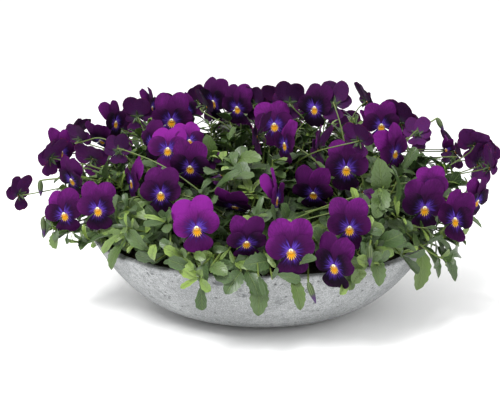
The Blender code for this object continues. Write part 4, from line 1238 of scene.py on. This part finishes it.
lines, nearest, placed = lines[free], nearest[free], placed[free]

# Lower leaves stand off the stem on short stalks and turn to the light
foot, along, out, length, where, owner = stem_leaves(lines, *LOWER_LEAVES)
along = unit(along * np.array([1, 1, 0.7]) + UP * 0.05)
out = unit(out + UP * 0.9 + 0.5 * unit(foot * LEVEL + 1e-5))
blade_foot = foot + along * (length * draws.uniform(0.25, 0.6, length.shape))[:, None]
half = length * draws.uniform(0.27, 0.35, length.shape)
age = np.clip(0.08 + 0.46 * where + draws.uniform(-0.24, 0.26, len(length)), 0, 1)

# The rosette at the end: young leaves, every second one a narrow stipule
young_foot, young_along, young_out, young_length, _, young_owner = stem_leaves(lines, *ROSETTE)
narrow = np.arange(len(young_foot)) % 2 == 1
young_half = young_length * np.where(narrow, 0.15, 0.31)
young_age = 0.62 + 0.3 * draws.uniform(-1, 1, len(young_foot)) + 0.12 * placed[young_owner]
young = np.repeat([False, True], [len(foot), len(young_foot)])
foot, blade_foot, along, out, length, half, age, owner = (np.concatenate(pair) for pair in (
    (foot, young_foot), (blade_foot, young_foot), (along, young_along),
    (out, unit(young_out + UP * 0.35)), (length, young_length), (half, young_half),
    (age, np.clip(young_age, 0, 1)), (owner, young_owner)))

# Only leaves that hide no bloom, cut into no soil or rim, and hang in front alone are kept,
# and only stems that keep a leaf of their rosette
probes = np.array([0.0, 0.5, 1.0])[:, None]
spots = blade_foot[:, None] + along[:, None] * length[:, None, None] * probes
x, y, height = np.moveaxis(spots, 2, 0)
reach = np.hypot(x, y)
in_soil = (height < SOIL_ROOM[0]) & (reach < SOIL_ROOM[1])
in_rim = (height < BOWL_HEIGHT + RIM_ROOM[0]) & (reach > RIM_ROOM[1]) & (reach < RIM_ROOM[2])
hanging = (height < FRONT_ROOM[0]) & (reach > FRONT_ROOM[1])
hanging &= (x < FRONT_ROOM[2]) & (y > FRONT_ROOM[3])
outside = (np.abs(x) > SPREAD[0]) | (y < SPREAD[1])
keep = ~(before_a_bloom(spots, *LEAF_VIEW) | in_soil | in_rim | hanging | outside).any(axis=1)
crowned = np.bincount(owner[keep & young], minlength=len(lines)) > 0
keep &= crowned[owner]

stand_foot, stand_tip, stand_width = (np.array(values) * 0.001 for values in zip(*STANDING))
stand_reach = stand_tip - stand_foot
stand_home = nearest_crown(stand_foot)
stand_root = crown_places[stand_home] + UP * 0.092
stand_stems = bezier(stand_root, stand_root + UP * 0.03, stand_foot - 0.3 * stand_reach, stand_foot)
stand_blades, stand_flat = blades(
    stand_foot, stand_reach, np.tile([0.1, -0.9, 0.45], (len(STANDING), 1)),
    np.linalg.norm(stand_reach, axis=-1), stand_width / 2, outline=leaf_outline, fold=0.25,
    **LEAF_SHAPE)

for number, name in enumerate(plant_names):
    mine = keep & (nearest[owner] == number)
    leaves = mine.sum()
    shells, flat = blades(
        blade_foot[mine], along[mine], out[mine], length[mine], half[mine], SMALL_ROWS,
        SMALL_COLUMNS, small_outline, arch=draws.uniform(-0.02, 0.14, leaves),
        fold=draws.uniform(0.05, 0.5, leaves), droop=draws.uniform(0.0, 0.35, leaves),
        thick=0.0005, tip_share=TIP_SHARE)
    stalked = mine & ~young
    first, last = foot[stalked], blade_foot[stalked]
    petioles = np.stack([first, (first + last) / 2 - out[stalked] * 0.0008,
                         last + along[stalked] * 0.001], axis=1)
    stems = lines[crowned & (nearest == number)]
    bundles = [sheaf(shells, flat, age[mine][:, None, None]),
               stem_sheaf(petioles, 0.0006, 4, (0.2, 0.5)),
               stem_sheaf(stems, np.linspace(0.0010, 0.0007, FOLIAGE_ROWS), STEM_SIDES, (0.1, 0.7))]
    home = stand_home == number
    if home.any():
        bundles += [sheaf(stand_blades[home], stand_flat[home], 0.62),
                    stem_sheaf(stand_stems[home], STEM_RADIUS, STEM_SIDES, (0.2, 0.7))]
    made = put_mesh(name + "_foliage", bundles, [leaf_skin, stem_green], sharp=60.0)
    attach(made, "root")


# ------------------------------------------------------------------------------ stage
# A bright white studio: the floor runs back into a white surround, with one broad soft
# light above and to the front, and the camera a little above the flowers.

CAMERA_PLACE = (-0.012, -1.1093, 0.3794)
LOOK_DOWN = 14.0
LENS = 82.8
SENSOR = 36.0
FLOOR_HALF = 7.0
SURROUND = 1.1
LIT = (0.0, 0.0, 0.1)       # what the lights are turned to

floor_white, shader, _ = new_material("floor_white", 0.9, Specular_IOR_Level=0.1)
shader.inputs["Base Color"].default_value = (0.93, 0.93, 0.93, 1.0)
corners = [(x * FLOOR_HALF, y * FLOOR_HALF, 0) for x, y in ((-1, -1), (1, -1), (1, 1), (-1, 1))]
ground = bpy.data.meshes.new("studio_floor")
ground.from_pydata(corners, [], [(0, 1, 2, 3)])
ground.materials.append(floor_white)
floor = bpy.data.objects.new("studio_floor", ground)
bpy.context.scene.collection.objects.link(floor)

world = bpy.data.worlds.new("white_surround")
world.use_nodes = True
world.node_tree.nodes["Background"].inputs["Color"].default_value = (1.0, 1.0, 1.0, 1.0)
world.node_tree.nodes["Background"].inputs["Strength"].default_value = SURROUND
bpy.context.scene.world = world


def area_light(name, place, size, power):
    """A square soft light at a place, turned to what it lights."""
    made = bpy.data.lights.new(name, "AREA")
    made.shape = "SQUARE"
    made.size = size
    made.energy = power
    lamp = bpy.data.objects.new(name, made)
    lamp.location = place
    lamp.rotation_euler = (Vector(LIT) - Vector(place)).to_track_quat("-Z", "Y").to_euler()
    bpy.context.scene.collection.objects.link(lamp)


area_light("key_light", (-0.7, -1.0, 1.6), 0.7, 46.0)
area_light("fill_light", (1.2, -1.0, 0.9), 1.2, 8.0)

lens = bpy.data.cameras.new("camera")
lens.lens = LENS
lens.sensor_width = SENSOR
camera = bpy.data.objects.new("camera", lens)
camera.location = CAMERA_PLACE
camera.rotation_euler = (math.radians(90.0 - LOOK_DOWN), 0.0, 0.0)
bpy.context.scene.collection.objects.link(camera)
bpy.context.scene.camera = camera
bpy.context.scene.view_settings.view_transform = "Standard"
